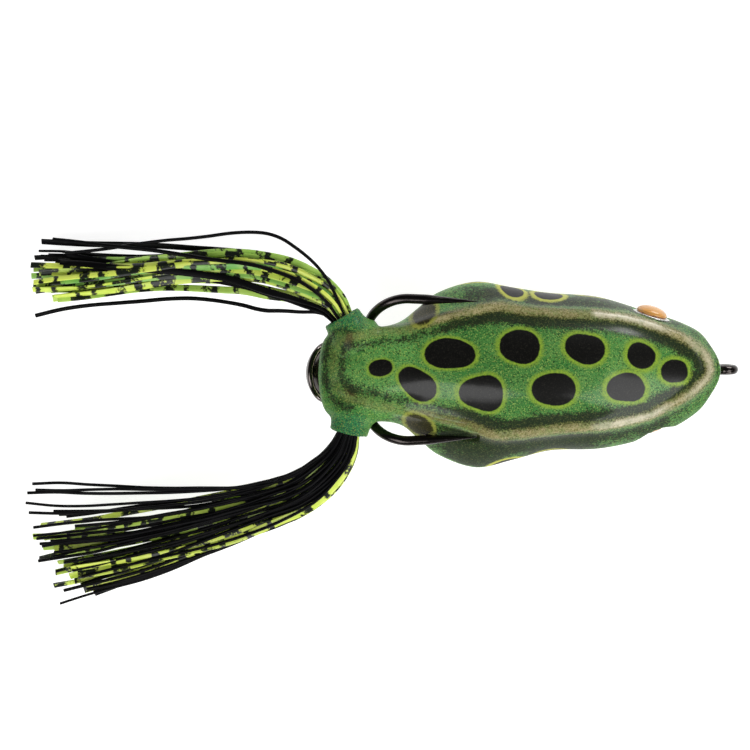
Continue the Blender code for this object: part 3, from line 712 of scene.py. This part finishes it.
def body_ring(place, count, inset):
    x, width, low, high, middle, roundness, lean, bow, sway = row_value(BODY_ROWS, place)
    width, low, high, middle = width * MM - inset, low * MM, high * MM - inset, middle * MM
    across, up = np.cos(full_turn(count)), np.sin(full_turn(count))
    power = np.where(up >= 0.0, roundness, BELLY_ROUNDNESS)
    height = np.where(up >= 0.0, high - middle, middle - low - inset)
    y = width * squared(across, power)
    z = np.maximum(middle + height * squared(up, power), inset)
    forward = lean * (z - middle) / max(high - middle, 1e-6) - bow * (y / max(width, 1e-6)) ** 2
    return np.stack([x * MM + forward * MM, y + sway * MM, z], axis=1)


def loft(name, rings):
    inner = rings[1:-1]
    vertices = np.concatenate(inner + [rings[0].mean(0)[None], rings[-1].mean(0)[None]])
    item = mesh_object(name, vertices, fan_faces(len(inner), len(rings[0])))
    mesh = bmesh.new()
    mesh.from_mesh(item.data)
    bmesh.ops.recalc_face_normals(mesh, faces=mesh.faces)
    mesh.to_mesh(item.data)
    mesh.free()
    return item


def view_axes():
    """The directions back toward a viewer above and up the plan, a little tilted about X."""
    back = (0.0, sin(VIEW_TILT), cos(VIEW_TILT))
    return back, (0.0, cos(VIEW_TILT), -sin(VIEW_TILT))


def in_plan(points):
    """Points in millimetres as they lie in the pattern's plan."""
    back, up = view_axes()
    offset = points / MM - np.array(PRINT_CENTRE)
    depth = (VIEW_DISTANCE - offset @ back) / VIEW_DISTANCE
    across, ahead = offset[:, 0] / depth, (offset @ up) / depth
    x = across * cos(VIEW_TURN) + ahead * sin(VIEW_TURN)
    y = ahead * cos(VIEW_TURN) - across * sin(VIEW_TURN)
    return np.stack([x + PRINT_CENTRE[0], y + PRINT_CENTRE[1]], axis=1)


def line_distance(plan, line):
    """Signed distance in plan from a line, in millimetres: above 0 on its left."""
    line = resampled(line, 120)
    nearest = np.full(len(plan), 1e9)
    for start, end in zip(line[:-1], line[1:]):
        run = end - start
        t = np.clip(((plan - start) @ run) / (run @ run), 0.0, 1.0)
        gap = plan - (start + t[:, None] * run)
        distance = np.linalg.norm(gap, axis=1)
        signed = np.where(run[0] * gap[:, 1] - run[1] * gap[:, 0] >= 0.0, distance, -distance)
        nearest = np.where(distance < np.abs(nearest), signed, nearest)
    return nearest


def stripe_distance(plan):
    """Signed distance from the nearer stripe: above 0 on its outer side."""
    left = line_distance(plan, STRIPES["left"])
    right = -line_distance(plan, STRIPES["right"])
    return np.where(np.abs(left) < np.abs(right), left, right)


def row_heights(x):
    """Height of the widest line and of the back at each x."""
    rows = np.array([row_value(BODY_ROWS, place) for place in np.linspace(0, NOSE_ROW, 200)])
    return [np.interp(x / MM, rows[:, 0], rows[:, column]) * MM for column in (4, 3)]


def add_ridges(item):
    """Raises the fold under each stripe, with a shallow groove on both its sides."""
    points = coordinates(item)
    distance = stripe_distance(in_plan(points))
    middle, back = row_heights(points[:, 0])
    amount = ramp(points[:, 2], middle, 0.3 * (back - middle)) * ramp(points[:, 0] / MM, -33.0, 8.0)
    ridge = RIDGE_HEIGHT * bell(distance, 0.0, RIDGE_HALF_WIDTH)
    groove = GROOVE_DEPTH * bell(np.abs(distance), GROOVE_AT, GROOVE_HALF_WIDTH)
    move_points(item, points + coordinates(item, "normal") * ((ridge - groove) * amount)[:, None])


def oval_distance(across, up, length, width, turn, lobe=0.0, lobe_turn=0.0):
    """Distance from the edge of an oval with three faint lobes, below 0 inside it."""
    angle = radians(turn)
    along = (across * cos(angle) + up * sin(angle)) / (length / 2.0)
    over = (-across * sin(angle) + up * cos(angle)) / (width / 2.0)
    reach = (np.abs(along) ** 2.2 + np.abs(over) ** 2.2) ** (1.0 / 2.2)
    reach = reach / (1.0 + lobe * np.cos(3.0 * (np.arctan2(up, across) - radians(lobe_turn))))
    return (reach - 1.0) * (length + width) / 4.0


def spot_distance(points, plan):
    """Distance to the nearest spot's edge, below 0 inside it, and the width of that spot's ring, in mm."""
    nearest = np.full(len(points), 50.0)
    ring = np.full(len(points), 0.5)
    x, y, z = (points / MM).T
    middle, back = (values / MM for values in row_heights(points[:, 0]))
    top = z > middle + 0.4 * (back - middle)
    found = []
    for spot_x, spot_y, *shape, ring_width in SPOTS:
        found.append((oval_distance(plan[:, 0] - spot_x, plan[:, 1] - spot_y, *shape), ring_width, top))
    for side, sign in SIDES.items():
        for spot_x, spot_z, *shape in FLANK_SPOTS[side]:
            found.append((oval_distance(x - spot_x, z - spot_z, *shape), FLANK_RING, y * sign > 5.0))
    for distance, ring_width, where in found:
        distance = np.where(where, distance, 50.0)
        ring = np.where(distance < nearest, ring_width, ring)
        nearest = np.minimum(distance, nearest)
    return nearest, ring


def bell(values, middle, half_width):
    return np.exp(-(((values - middle) / half_width) ** 2))


def shading(x, right, stripe, tail):
    """How far olive black has taken over: beside the stripes and on the haunches, flanks, neck and tail. The
    extra dark on the right haunch and flank is painted shade.
    """
    inner = bell(stripe, -1.5, 0.95) + 0.3 * bell(stripe, -2.7, 1.2)
    beyond = ramp(stripe, 0.6, 0.8)
    haunch = 0.95 * bell(x, -3.0, 5.5) * bell(stripe, 1.9, 1.2)
    haunch += 0.45 * bell(x, -8.0, 5.0) * bell(stripe, 3.0, 1.5)
    # Painted shade: the right haunch is darkened far more than the left.
    haunch += np.where(right, 0.95, 0.05) * bell(x, -8.0, 7.0) * beyond
    flank = beyond * ramp(x, -1.0, 5.0) * (0.85 - 0.4 * ramp(x, 22.0, 6.0))
    # Painted shade: behind x = 9 mm the right flank is darkened more than the left.
    flank *= np.where(right, 0.9 - 0.5 * ramp(x, 9.0, 6.0), 0.5) + 0.5 * bell(stripe, 1.5, 1.8)
    neck = 0.4 * beyond * bell(x, -19.0, 3.5)
    dark_paint_and_painted_shade = inner * (0.55 + 0.45 * ramp(x, -15.0, 8.0)) + haunch + flank + neck
    around_tail = 0.75 * bell(np.abs(tail), 1.35, 0.8) * ramp(x, -25.5, -2.0)
    return dark_paint_and_painted_shade * (1.0 - ramp(x, -27.0, -1.0)) + around_tail


def tan_amount(x, right, ends):
    """How bright the stripes are along the body; toward the front of both stripes and midway along the left
    one this is painted highlight.
    """
    bright = 0.6 * ramp(x, np.where(right, -8.0, -17.0), 5.0)
    painted_highlight = 0.25 * ramp(x, 8.0, 5.0) + np.where(right, 0.0, 0.25) * bell(x, -9.0, 6.0)
    return ends * (0.12 + bright + painted_highlight)


def paint(item, outer):
    """Writes the fields that the skin's material reads; outer finds what is the outside of the body."""
    points = coordinates(item)
    plan = in_plan(points)
    x, y = plan.T
    right = y < 0.0
    height = (points[:, 2] - row_heights(points[:, 0])[0]) / MM
    below = ramp(height, 0.5, -2.0)
    stripe = stripe_distance(plan) + below * 6.0
    tail = line_distance(plan, TAIL_BAND)
    spots, ring = spot_distance(points, plan)
    ends = ramp(x, -29.5, 1.5)
    round_tail = np.minimum(np.abs(stripe) + 3.0 * (1.0 - ends), np.abs(tail) + 0.15 + 3.0 * (x > -26.0))
    # Painted highlight along the crest of each front ridge.
    crest = bell(stripe, 0.0, 0.75) * ramp(x, 11.0, 1.5) * ramp(x, 25.5, -4.0)
    gloss = 1.0 - np.where(right, 0.95, 0.1) * ramp(stripe, 0.8, 1.2)
    # Painted rim light along the outline of the left haunch only.
    haunch_rim_light = np.where(right, 0.0, 0.6) * ramp(y, 12.6, 1.2)
    patches = [oval_distance(x - px, y - py, *size) for px, py, *size in PATCHES]
    gaps = np.array([outer.find_nearest(Vector(point))[3] or 0.0 for point in points])
    fields = {
        "dark_paint_and_painted_shade": np.clip(shading(x, right, stripe, tail) * ramp(height, 0.0, 2.0), 0.0, 1.0),
        "stripe": round_tail + below * 6.0,
        "olive": 0.5 + 0.5 * ramp(x, -21.0, 8.0),
        "sleeve": 0.9 * ramp(np.abs(y - 0.3), 6.0, 2.0) * ramp(x, -24.0, -2.0),
        "crest": crest + 0.6 * bell(stripe, 0.2, 1.1) * ramp(x, 25.5, 2.5),
        "gloss": gloss * (1.0 - 0.85 * ramp(x, -19.5, -3.0)),
        "pale_paint_and_rim_light": 0.75 * bell(x, -19.0, 5.0) + 0.35 * bell(x, 18.0, 5.0) + haunch_rim_light,
        "tan_and_highlight": tan_amount(x, right, ends),
        "spots": spots,
        "ring_width": ring,
        "patches": np.minimum(*patches) + 20.0 * below,
        "belly": ramp(0.5 - height - 3.0 * ramp(x, -21.0, -3.0), 0.0, 4.5),
        "inside": ramp(gaps / MM, 0.9, 0.5),
    }
    for name, values in fields.items():
        float_attribute(item, name, values)


def sleeve(side):
    """The middle of a sleeve's rim and the direction that it faces."""
    heading = LEG_HEADING[side]
    return Vector((*LEG_RIM[side], SLEEVE_Z)), Vector((cos(heading), sin(heading), 0.0))


def eye_frame(side):
    level = cos(EYE_UP_TILT)
    facing = Vector((
        level * cos(EYE_HEADING), SIDES[side] * level * sin(EYE_HEADING), sin(EYE_UP_TILT)
    ))
    return EYE_CENTRE[side] + EYE_SET[side], facing


def solid_hull():
    """The body's outer shape with its ridges and both sleeves, still solid."""
    last = len(BODY_ROWS) - 1
    hull = loft("hull", [body_ring(place, 96, 0.0) for place in np.linspace(0.0, last, last * 7 + 1)])
    add_ridges(hull)
    for side in SIDES:
        cuff = turned(f"{side}_sleeve", SLEEVE_PROFILE, 64)
        cuff.data.transform(standing(*sleeve(side)))
        boolean(hull, cuff, "UNION")
    return baked(hull, "hull_with_sleeves")


def surface_tree(item):
    """A search tree of the item's surface as it is now."""
    mesh = bmesh.new()
    mesh.from_mesh(item.data)
    bmesh.ops.triangulate(mesh, faces=mesh.faces)
    tree = BVHTree.FromBMesh(mesh)
    mesh.free()
    return tree


def body_cutters():
    """Cavity, sleeve bores, eye sockets, nose bore, rump opening and the wire's room."""
    yield loft("cavity", [body_ring(place, 48, WALL) for place in np.linspace(*CAVITY_ROWS, 60)])
    for side in SIDES:
        rim, axis = sleeve(side)
        yield between(f"{side}_bore", rim - axis * (SLEEVE_LENGTH + 0.5 * MM), rim + axis * MM, SLEEVE_BORE)
        centre, facing = eye_frame(side)
        floor = centre - facing * SOCKET_DEPTH
        yield between(f"{side}_socket", floor, floor + facing * 6.0 * MM, EYE_DISC_RADIUS + 0.2 * MM)
    yield oval_bore("nose_bore", 22.0 * MM, 34.0 * MM, 1.75 * MM, 2.55 * MM, NOSE_Z)
    rump = [(-27.0 * MM, 3.6 * MM, 4.4 * MM, 4.4 * MM), (-13.0 * MM, 3.6 * MM, 4.4 * MM, 3.6 * MM)]
    yield oval_tube("rump_opening", rump)
    for side, sign in SIDES.items():
        line = [(place, WIRE_RADIUS + 0.3 * MM) for place, _ in hook_side(sign) if place.x < WIRE_ROOM_END_X]
        yield round_wire(f"{side}_wire_room", line, 16)


def add_smoothing(item, iterations):
    modifier = item.modifiers.new("smooth", "SMOOTH")
    modifier.factor = 0.5
    modifier.iterations = iterations
    return modifier


def make_body(skin):
    hull = solid_hull()
    outer = surface_tree(hull)
    for cutter in body_cutters():
        boolean(hull, cutter)
    remesh = hull.modifiers.new("remesh", "REMESH")
    remesh.mode = "VOXEL"
    remesh.voxel_size = SKIN_VOXEL
    add_smoothing(hull, SKIN_SMOOTHING)
    body = baked(hull, "frog_skin")
    group = body.vertex_groups.new(name="sleeves")
    points = coordinates(body) / MM
    near_sleeves = (points[:, 0] < -21.0) & (np.abs(points[:, 1]) > 4.5)
    group.add(np.nonzero(near_sleeves)[0].tolist(), 1.0, "REPLACE")
    add_smoothing(body, SLEEVE_SMOOTHING).vertex_group = group.name
    body = baked(body, "frog_skin")
    body.data.shade_smooth()
    points = coordinates(body)
    points[:, 2] = np.maximum(points[:, 2], 0.0)
    move_points(body, points)
    paint(body, outer)
    return give(body, skin, ROOT, "soft_skin", "frog_body")


# ---- hook, weight and grommet

def shank_rise(x):
    return ramp(x, RISE_X[0], RISE_X[1] - RISE_X[0])


def prong(sign):
    """The tip and the crest of one prong; sign is 1 for the left and -1 for the right."""
    tip = Vector((POINT_TIP[0], sign * POINT_TIP[1] + PRONG_LEAN[1], POINT_TIP[2]))
    crest = Vector((BEND_X, sign * BEND_TOP[0] + PRONG_LEAN[0], BEND_TOP[1]))
    return tip, crest


def hook_side(sign):
    """Centre line and radius of one half of the wire, from its point to the line-tie eye."""
    tip, crest = prong(sign)
    low = Vector((BEND_X, sign * SHANK_OFFSET, SHANK_Z))
    middle, arm = (crest + low) / 2.0, (crest - low) / 2.0
    line = []
    for t in (step / 24.0 for step in range(24)):
        line.append((tip.lerp(crest, t), WIRE_RADIUS * min(1.0, 0.05 + 0.95 * t / TAPER_SHARE)))
    for step in range(41):
        turn = radians(90.0 - 180.0 * step / 40)
        back = Vector((-BEND_BACK * cos(turn), 0.0, 0.0))
        line.append((middle + arm * sin(turn) + back, WIRE_RADIUS))
    for step in range(1, 61):
        x = BEND_X + (EYE_NECK_X - BEND_X) * (step / 60.0)
        rise = shank_rise(x)
        twist = radians(90.0) * rise
        offset = sign * (SHANK_OFFSET + (NOSE_OFFSET - SHANK_OFFSET) * rise)
        height = SHANK_Z + (NOSE_Z - SHANK_Z) * rise + offset * sin(twist)
        line.append((Vector((x, offset * cos(twist), height)), WIRE_RADIUS))
    for degrees in range(100, 0, -10):
        turn = radians(degrees)
        x = EYE_FRONT_X - EYE_RADIUS + EYE_RADIUS * cos(turn)
        line.append((Vector((x, 0.0, NOSE_Z + sign * EYE_RADIUS * sin(turn))), WIRE_RADIUS))
    return line


def make_hook(metal):
    front = [(Vector((EYE_FRONT_X, 0.0, NOSE_Z)), WIRE_RADIUS)]
    hook = round_wire("double_wire", hook_side(1.0) + front + hook_side(-1.0)[::-1], 20)
    for sign in SIDES.values():
        boolean(hook, barb(sign), "UNION")
    hook = shaded(baked(hook, "black_nickel_hook"), 50.0)
    return give(hook, metal, ROOT, "hook_wire", "double_hook")


def round_wire(name, line, sides):
    """A round tube along places and radii, with a frame carried along so that it never flips."""
    points = np.array([tuple(place) for place, _ in line])
    tangents = unit(np.gradient(points, axis=0))
    side = unit(np.cross(tangents[0], (0.0, 0.0, 1.0)))
    rings = []
    around, over = np.cos(full_turn(sides))[:, None], np.sin(full_turn(sides))[:, None]
    for point, tangent, (_, radius) in zip(points, tangents, line):
        side = unit(side - tangent * (side @ tangent))
        up = np.cross(tangent, side)
        rings.append(point + radius * (around * side + over * up))
    return mesh_object(name, np.concatenate(rings), tube_faces(len(points), sides))


def barb(sign):
    """The barb, a thin blade lifted from the inner side of the wire."""
    tip, crest = prong(sign)
    base = tip.lerp(crest, BARB_SHARE) - Vector((0.0, sign * 0.25 * MM, 0.0))
    end = base + (crest - tip).normalized() * BARB_LENGTH - Vector((0.0, sign * BARB_LIFT, 0.0))
    return between("barb", base, end, 0.5 * MM, 12, 0.03 * MM, 0.6)


def tail_disc(opening):
    """The dished disc: its hollow face, its rounded rim and its back."""
    profile = [(0.0, -1.05), (1.2, -1.0), (2.4, -0.85), (3.4, -0.6), (4.0, -0.25), (4.25, 0.1)]
    for turn in np.radians(range(150, -91, -30)):
        profile.append((4.65 + 0.42 * cos(turn), 0.08 + 0.42 * sin(turn)))
    profile += [(4.3, -1.0), (3.7, -1.6), (2.8, -2.0), (1.5, -2.25), (0.0, -2.3)]
    disc = turned("tail_disc", profile, 96)
    disc.data.transform(standing(DISC_CENTRE, opening))
    return disc


def make_weight(metal):
    start, end = BARREL
    half_y, half_z = BARREL_HALF
    bevel = [(0.0, 0.8), (0.25, 0.35), (0.8, 0.0)]
    ends = [(start + a * MM, b) for a, b in bevel] + [(end - a * MM, b) for a, b in reversed(bevel)]
    weight = oval_tube("barrel", [(x, half_y - b * MM, half_z - b * MM, BARREL_Z) for x, b in ends], 48)
    opening = Vector((sin(DISC_TILT), 0.0, cos(DISC_TILT)))
    stem_start = Vector((start + 2.0 * MM, 0.0, BARREL_Z + 0.9 * MM))
    boolean(weight, between("stem", stem_start, DISC_CENTRE - opening * 1.5 * MM, STEM_RADIUS, 28), "UNION")
    boolean(weight, tail_disc(opening), "UNION")
    half_slot = SHANK_OFFSET + WIRE_RADIUS + 0.3 * MM
    slot = oval_bore("shank_slot", start - MM, end + MM, half_slot, 1.3 * MM, SHANK_Z)
    boolean(weight, slot)
    weight = shaded(baked(weight, "plated_weight"), 40.0)
    offsets = coordinates(weight) - np.array(DISC_CENTRE)
    above = offsets @ np.array(opening) / MM
    radius = np.linalg.norm(offsets - np.outer(above * MM, opening), axis=1) / MM
    # The band on the top of the rim that carries the painted highlight.
    float_attribute(weight, "painted_rim_highlight", bell(radius, 4.48, 0.16) * (above > 0.0))
    return give(weight, metal, ROOT, "weight_metal", "hook_weight")


def make_grommet(cloudy):
    stations = [
        (27.6, 1.4, 2.2), (27.8, 1.5, 2.3), (30.2, 1.5, 2.32), (31.0, 1.45, 2.28), (31.7, 1.36, 2.2),
        (32.05, 1.28, 2.12), (32.2, 1.18, 2.02),
    ]
    grommet = oval_tube("nose_collar", [(x * MM, w * MM, h * MM, NOSE_Z) for x, w, h in stations])
    slot = oval_bore("collar_slot", 20.0 * MM, 34.0 * MM, 1.04 * MM, 1.9 * MM, NOSE_Z)
    boolean(grommet, slot)
    grommet = shaded(baked(grommet, "nose_collar"), 40.0)
    return give(grommet, cloudy, ROOT, "grommet", "nose_grommet")


# ---- eyes

def make_eye(side, foil_look, lens_look):
    centre, facing = eye_frame(side)
    base = centre - facing * (SOCKET_DEPTH - 0.15 * MM)
    rings = [(r, 0.3 - 0.04 * (r / 3.1) ** 6) for r in np.linspace(0.0, 3.0, 16)]
    foil = turned(f"{side}_iris", [(0.0, 0.3)] + rings[1:] + [(3.1, 0.2), (3.1, 0.0), (0.0, 0.0)], 64)
    float_attribute(foil, "radius", np.linalg.norm(coordinates(foil)[:, :2], axis=1) / MM)
    foil.data.transform(standing(base, facing))
    give(foil, foil_look, ROOT, "eye_foil", f"{side}_eye_foil")
    steps = np.radians(np.linspace(90.0, 4.0, 18)[1:])
    dome = [(LENS_RADIUS * cos(a), 0.15 + LENS_HEIGHT * sin(a)) for a in steps]
    edge = [(LENS_RADIUS, 0.08), (LENS_RADIUS - 0.08, 0.0)]
    lens = turned(f"{side}_dome", [(0.0, 0.15 + LENS_HEIGHT)] + dome + edge + [(0.0, 0.0)], 64)
    lens.data.transform(standing(base + facing * 0.4 * MM, facing))
    lens.data.set_sharp_from_angle(angle=radians(50.0))
    give(lens, lens_look, ROOT, "eye_lens", f"{side}_eye_lens")


# ---- skirt legs

def leg_section(side, t):
    rows = LEG_LINES[side]
    place = t * (len(rows) - 1)
    x, y, z, half_width, half_height = row_value(rows, place) * MM
    ahead = row_value(rows, min(place + 0.05, len(rows) - 1.0))
    behind = row_value(rows, max(place - 0.05, 0.0))
    run = Vector((*(ahead - behind)[:2], 0.0)).normalized()
    if place < 1.0:
        run = sleeve(side)[1].lerp(run, ramp(place)).normalized()
    return Vector((x, y, z)), Vector((-run.y, run.x, 0.0)), half_width, half_height


def strand_path(side, across, up, reach, seed, count):
    """Points of a strand; across holds its place across the bundle at the mouth, midway and at the end."""
    rim, axis = sleeve(side)
    _, sideways, half_width, half_height = leg_section(side, 0.0)
    mouth, midway, end = across
    within = max(1.0, hypot(mouth, up))
    start = sideways * mouth * half_width + Vector((0.0, 0.0, up * half_height))
    points = [rim - axis * ROOT_DEPTH + start / within]
    for t in np.linspace(0.0, reach, count - 1):
        middle, sideways, half_width, half_height = leg_section(side, t)
        place = mouth / within + (midway - mouth / within) * ramp(t, 0.0, 0.55)
        place += (end - midway) * ramp(t, 0.45, 0.55)
        drift = ramp(t * 1.6)
        wander = noise.noise(Vector((seed * 3.7, t * 2.4, 0.5)))
        wander += 0.3 * noise.noise(Vector((seed, t * 7.0, 3.1)))
        rise = noise.noise(Vector((seed * 5.3, t * 2.0, 9.5)))
        spread = up / within + (up - up / within) * ramp(t * 3.0)
        offset_across = (place + 0.3 * drift * wander) * half_width
        offset_up = (spread * 0.92 + 0.35 * drift * rise) * half_height
        point = middle + sideways * offset_across + Vector((0.0, 0.0, offset_up))
        point.z = max(point.z, 0.7 * MM)
        points.append(point)
    return points


def make_strand(side, number, nodes, across, up, kind, looks, rng, reach=None):
    """One strand. The order of the random draws fixes the bundle's look."""
    reach = reach or 1.0 - 0.1 * rng.random() ** 1.5
    seed = number + (0.0 if side == "left" else 100.0)
    path = resampled([tuple(p) for p in strand_path(side, across, up, reach, seed, 22)], 64)
    share = np.linspace(0.0, 1.0, len(path))
    opening = ramp(share, 0.0, 0.28)
    width, height, power, sides = STRAND_SECTIONS[kind]
    width = width * (0.85 + 0.3 * rng.random())
    height = min(height, width)
    root_width = min(0.25, width)
    root_height = min(height, 0.24)
    widths = (root_width + (width - root_width) * opening) * MM
    heights = (root_height + (height - root_height) * opening) * MM
    twist = 0.8 * (rng.random() - 0.5) * 2.0 * ramp(share) + 0.4 * np.sin(share * 6.0 + seed)
    strand = swept(f"{side}_skirt_{number + 1:02d}", path, widths, heights, sides, power, twist)
    phase = rng.random()
    hue = (1.0 if side == "left" else 0.55) * rng.random() ** 1.3
    if kind == "barred_wide":
        hue *= 0.2
    for name, value in (("phase", phase), ("hue", hue)):
        float_attribute(strand, name, np.full(len(strand.data.vertices), value))
    look, slot = ("barred", "barred_silicone") if kind.startswith("barred") else ("black", "black_rubber")
    give(strand, looks[look], None, slot, *nodes)
    rim, axis = sleeve(side)
    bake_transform(strand)
    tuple(rim)


def strand_place(side, out, up, chance):
    """Whether a strand is barred, and how it crosses the bundle; out is above 0 on the outer side."""
    if side == "left":
        barred = 0.8 * out + 0.55 * up + 0.5 * (chance - 0.5) > -0.3
        end = 0.65 * out - 0.3 if barred else 0.5 * out + 0.6
        height = up if barred else 0.7 * up - 0.35
    else:
        barred = 0.25 * out - 0.9 * up + 0.6 * (chance - 0.5) > 0.1
        end = 0.85 * out + 0.08 if barred else 0.9 * out + 0.12
        height = 0.7 * up + 0.3
    return barred, (out, 0.5 * (out + end), end), height


def make_leg(side, looks):
    """Strands in the places of the CAD's, more between them up to the real number, and a few strays."""
    rng = np.random.default_rng(11 if side == "left" else 23)
    golden = pi * (3.0 - sqrt(5.0))
    turned_out = -SIDES[side]
    for number in range(STRANDS_SHOWN[side]):
        spread = sqrt((number + 0.5) / STRANDS_SHOWN[side])
        out = turned_out * spread * cos(number * golden)
        up = spread * sin(number * golden)
        barred, across, height = strand_place(side, out, up, rng.random())
        kind = "barred" if barred else ("flat" if number % 2 == 0 and side == "left" else "black")
        nodes = (f"{side}_strand_{number + 1:02d}",) if number < STRANDS_IN_CAD else ()
        make_strand(side, number, nodes, [turned_out * part for part in across], height, kind, looks, rng)
    for extra, (*across, up, reach, kind) in enumerate(STRAYS[side]):
        number = STRANDS_SHOWN[side] + extra
        make_strand(side, number, (), [turned_out * part for part in across], up, kind, looks, rng, reach)


# ---- stage

def make_camera():
    data = bpy.data.cameras.new("camera")
    data.lens = 100.0
    data.clip_start = 0.01
    data.clip_end = 10.0
    camera = add_object("camera", data)
    back, up = (Vector(axis) for axis in view_axes())
    turn = Matrix((up.cross(back), up, back)).transposed() @ Matrix.Rotation(VIEW_TURN, 3, "Z")
    place = CAMERA_CENTRE + back * (VIEW_DISTANCE * MM)
    camera.matrix_world = Matrix.Translation(place) @ turn.to_4x4()
    bpy.context.scene.camera = camera


def softbox(name, place, size, watts):
    data = bpy.data.lights.new(name, "AREA")
    data.shape = "RECTANGLE"
    data.size, data.size_y = size
    data.energy = watts
    light = add_object(name, data)
    light.location = place
    light.rotation_euler = (LIT_PLACE - Vector(place)).to_track_quat("-Z", "Y").to_euler()


def make_stage():
    corners = [(-2.0, -2.0), (2.0, -2.0), (2.0, 2.0), (-2.0, 2.0)]
    floor = mesh_object("floor", [(x, y, FLOOR_Z) for x, y in corners], [(0, 1, 2, 3)])
    floor.data.materials.append(floor_material())
    floor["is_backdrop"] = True
    for box in SOFTBOXES:
        softbox(*box)
    world = bpy.data.worlds.new("studio")
    world.use_nodes = True
    inputs = world.node_tree.nodes["Background"].inputs
    inputs["Color"].default_value = (1.0, 1.0, 1.0, 1.0)
    inputs["Strength"].default_value = ROOM_GLOW
    bpy.context.scene.world = world
    bpy.context.scene.view_settings.view_transform = "Standard"


def main():
    make_camera()
    make_stage()
    make_body(skin_material())
    make_hook(black_nickel("black_nickel_wire", (0.055, 0.048, 0.046), 0.18))
    make_weight(black_nickel("black_nickel_plate", (0.12, 0.105, 0.1), 0.08))
    make_grommet(grommet_material())
    foil_look, lens_look = foil_material(), lens_material()
    black = rubber_material("black_rubber", (0.003, 0.003, 0.0033), 0.34)
    looks = {"black": black, "barred": barred_material()}
    band_look = rubber_material("band_rubber", (0.02, 0.02, 0.02), 0.6)
    for side in SIDES:
        make_eye(side, foil_look, lens_look)
        make_leg(side, looks)
        give(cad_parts[f"{side}_leg_band"], band_look)


main()
visual_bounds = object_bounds()
boxes = {"cad": cad_bounds, "visual": visual_bounds}
{name: [list(map(float, corner)) for corner in box] for name, box in boxes.items()}
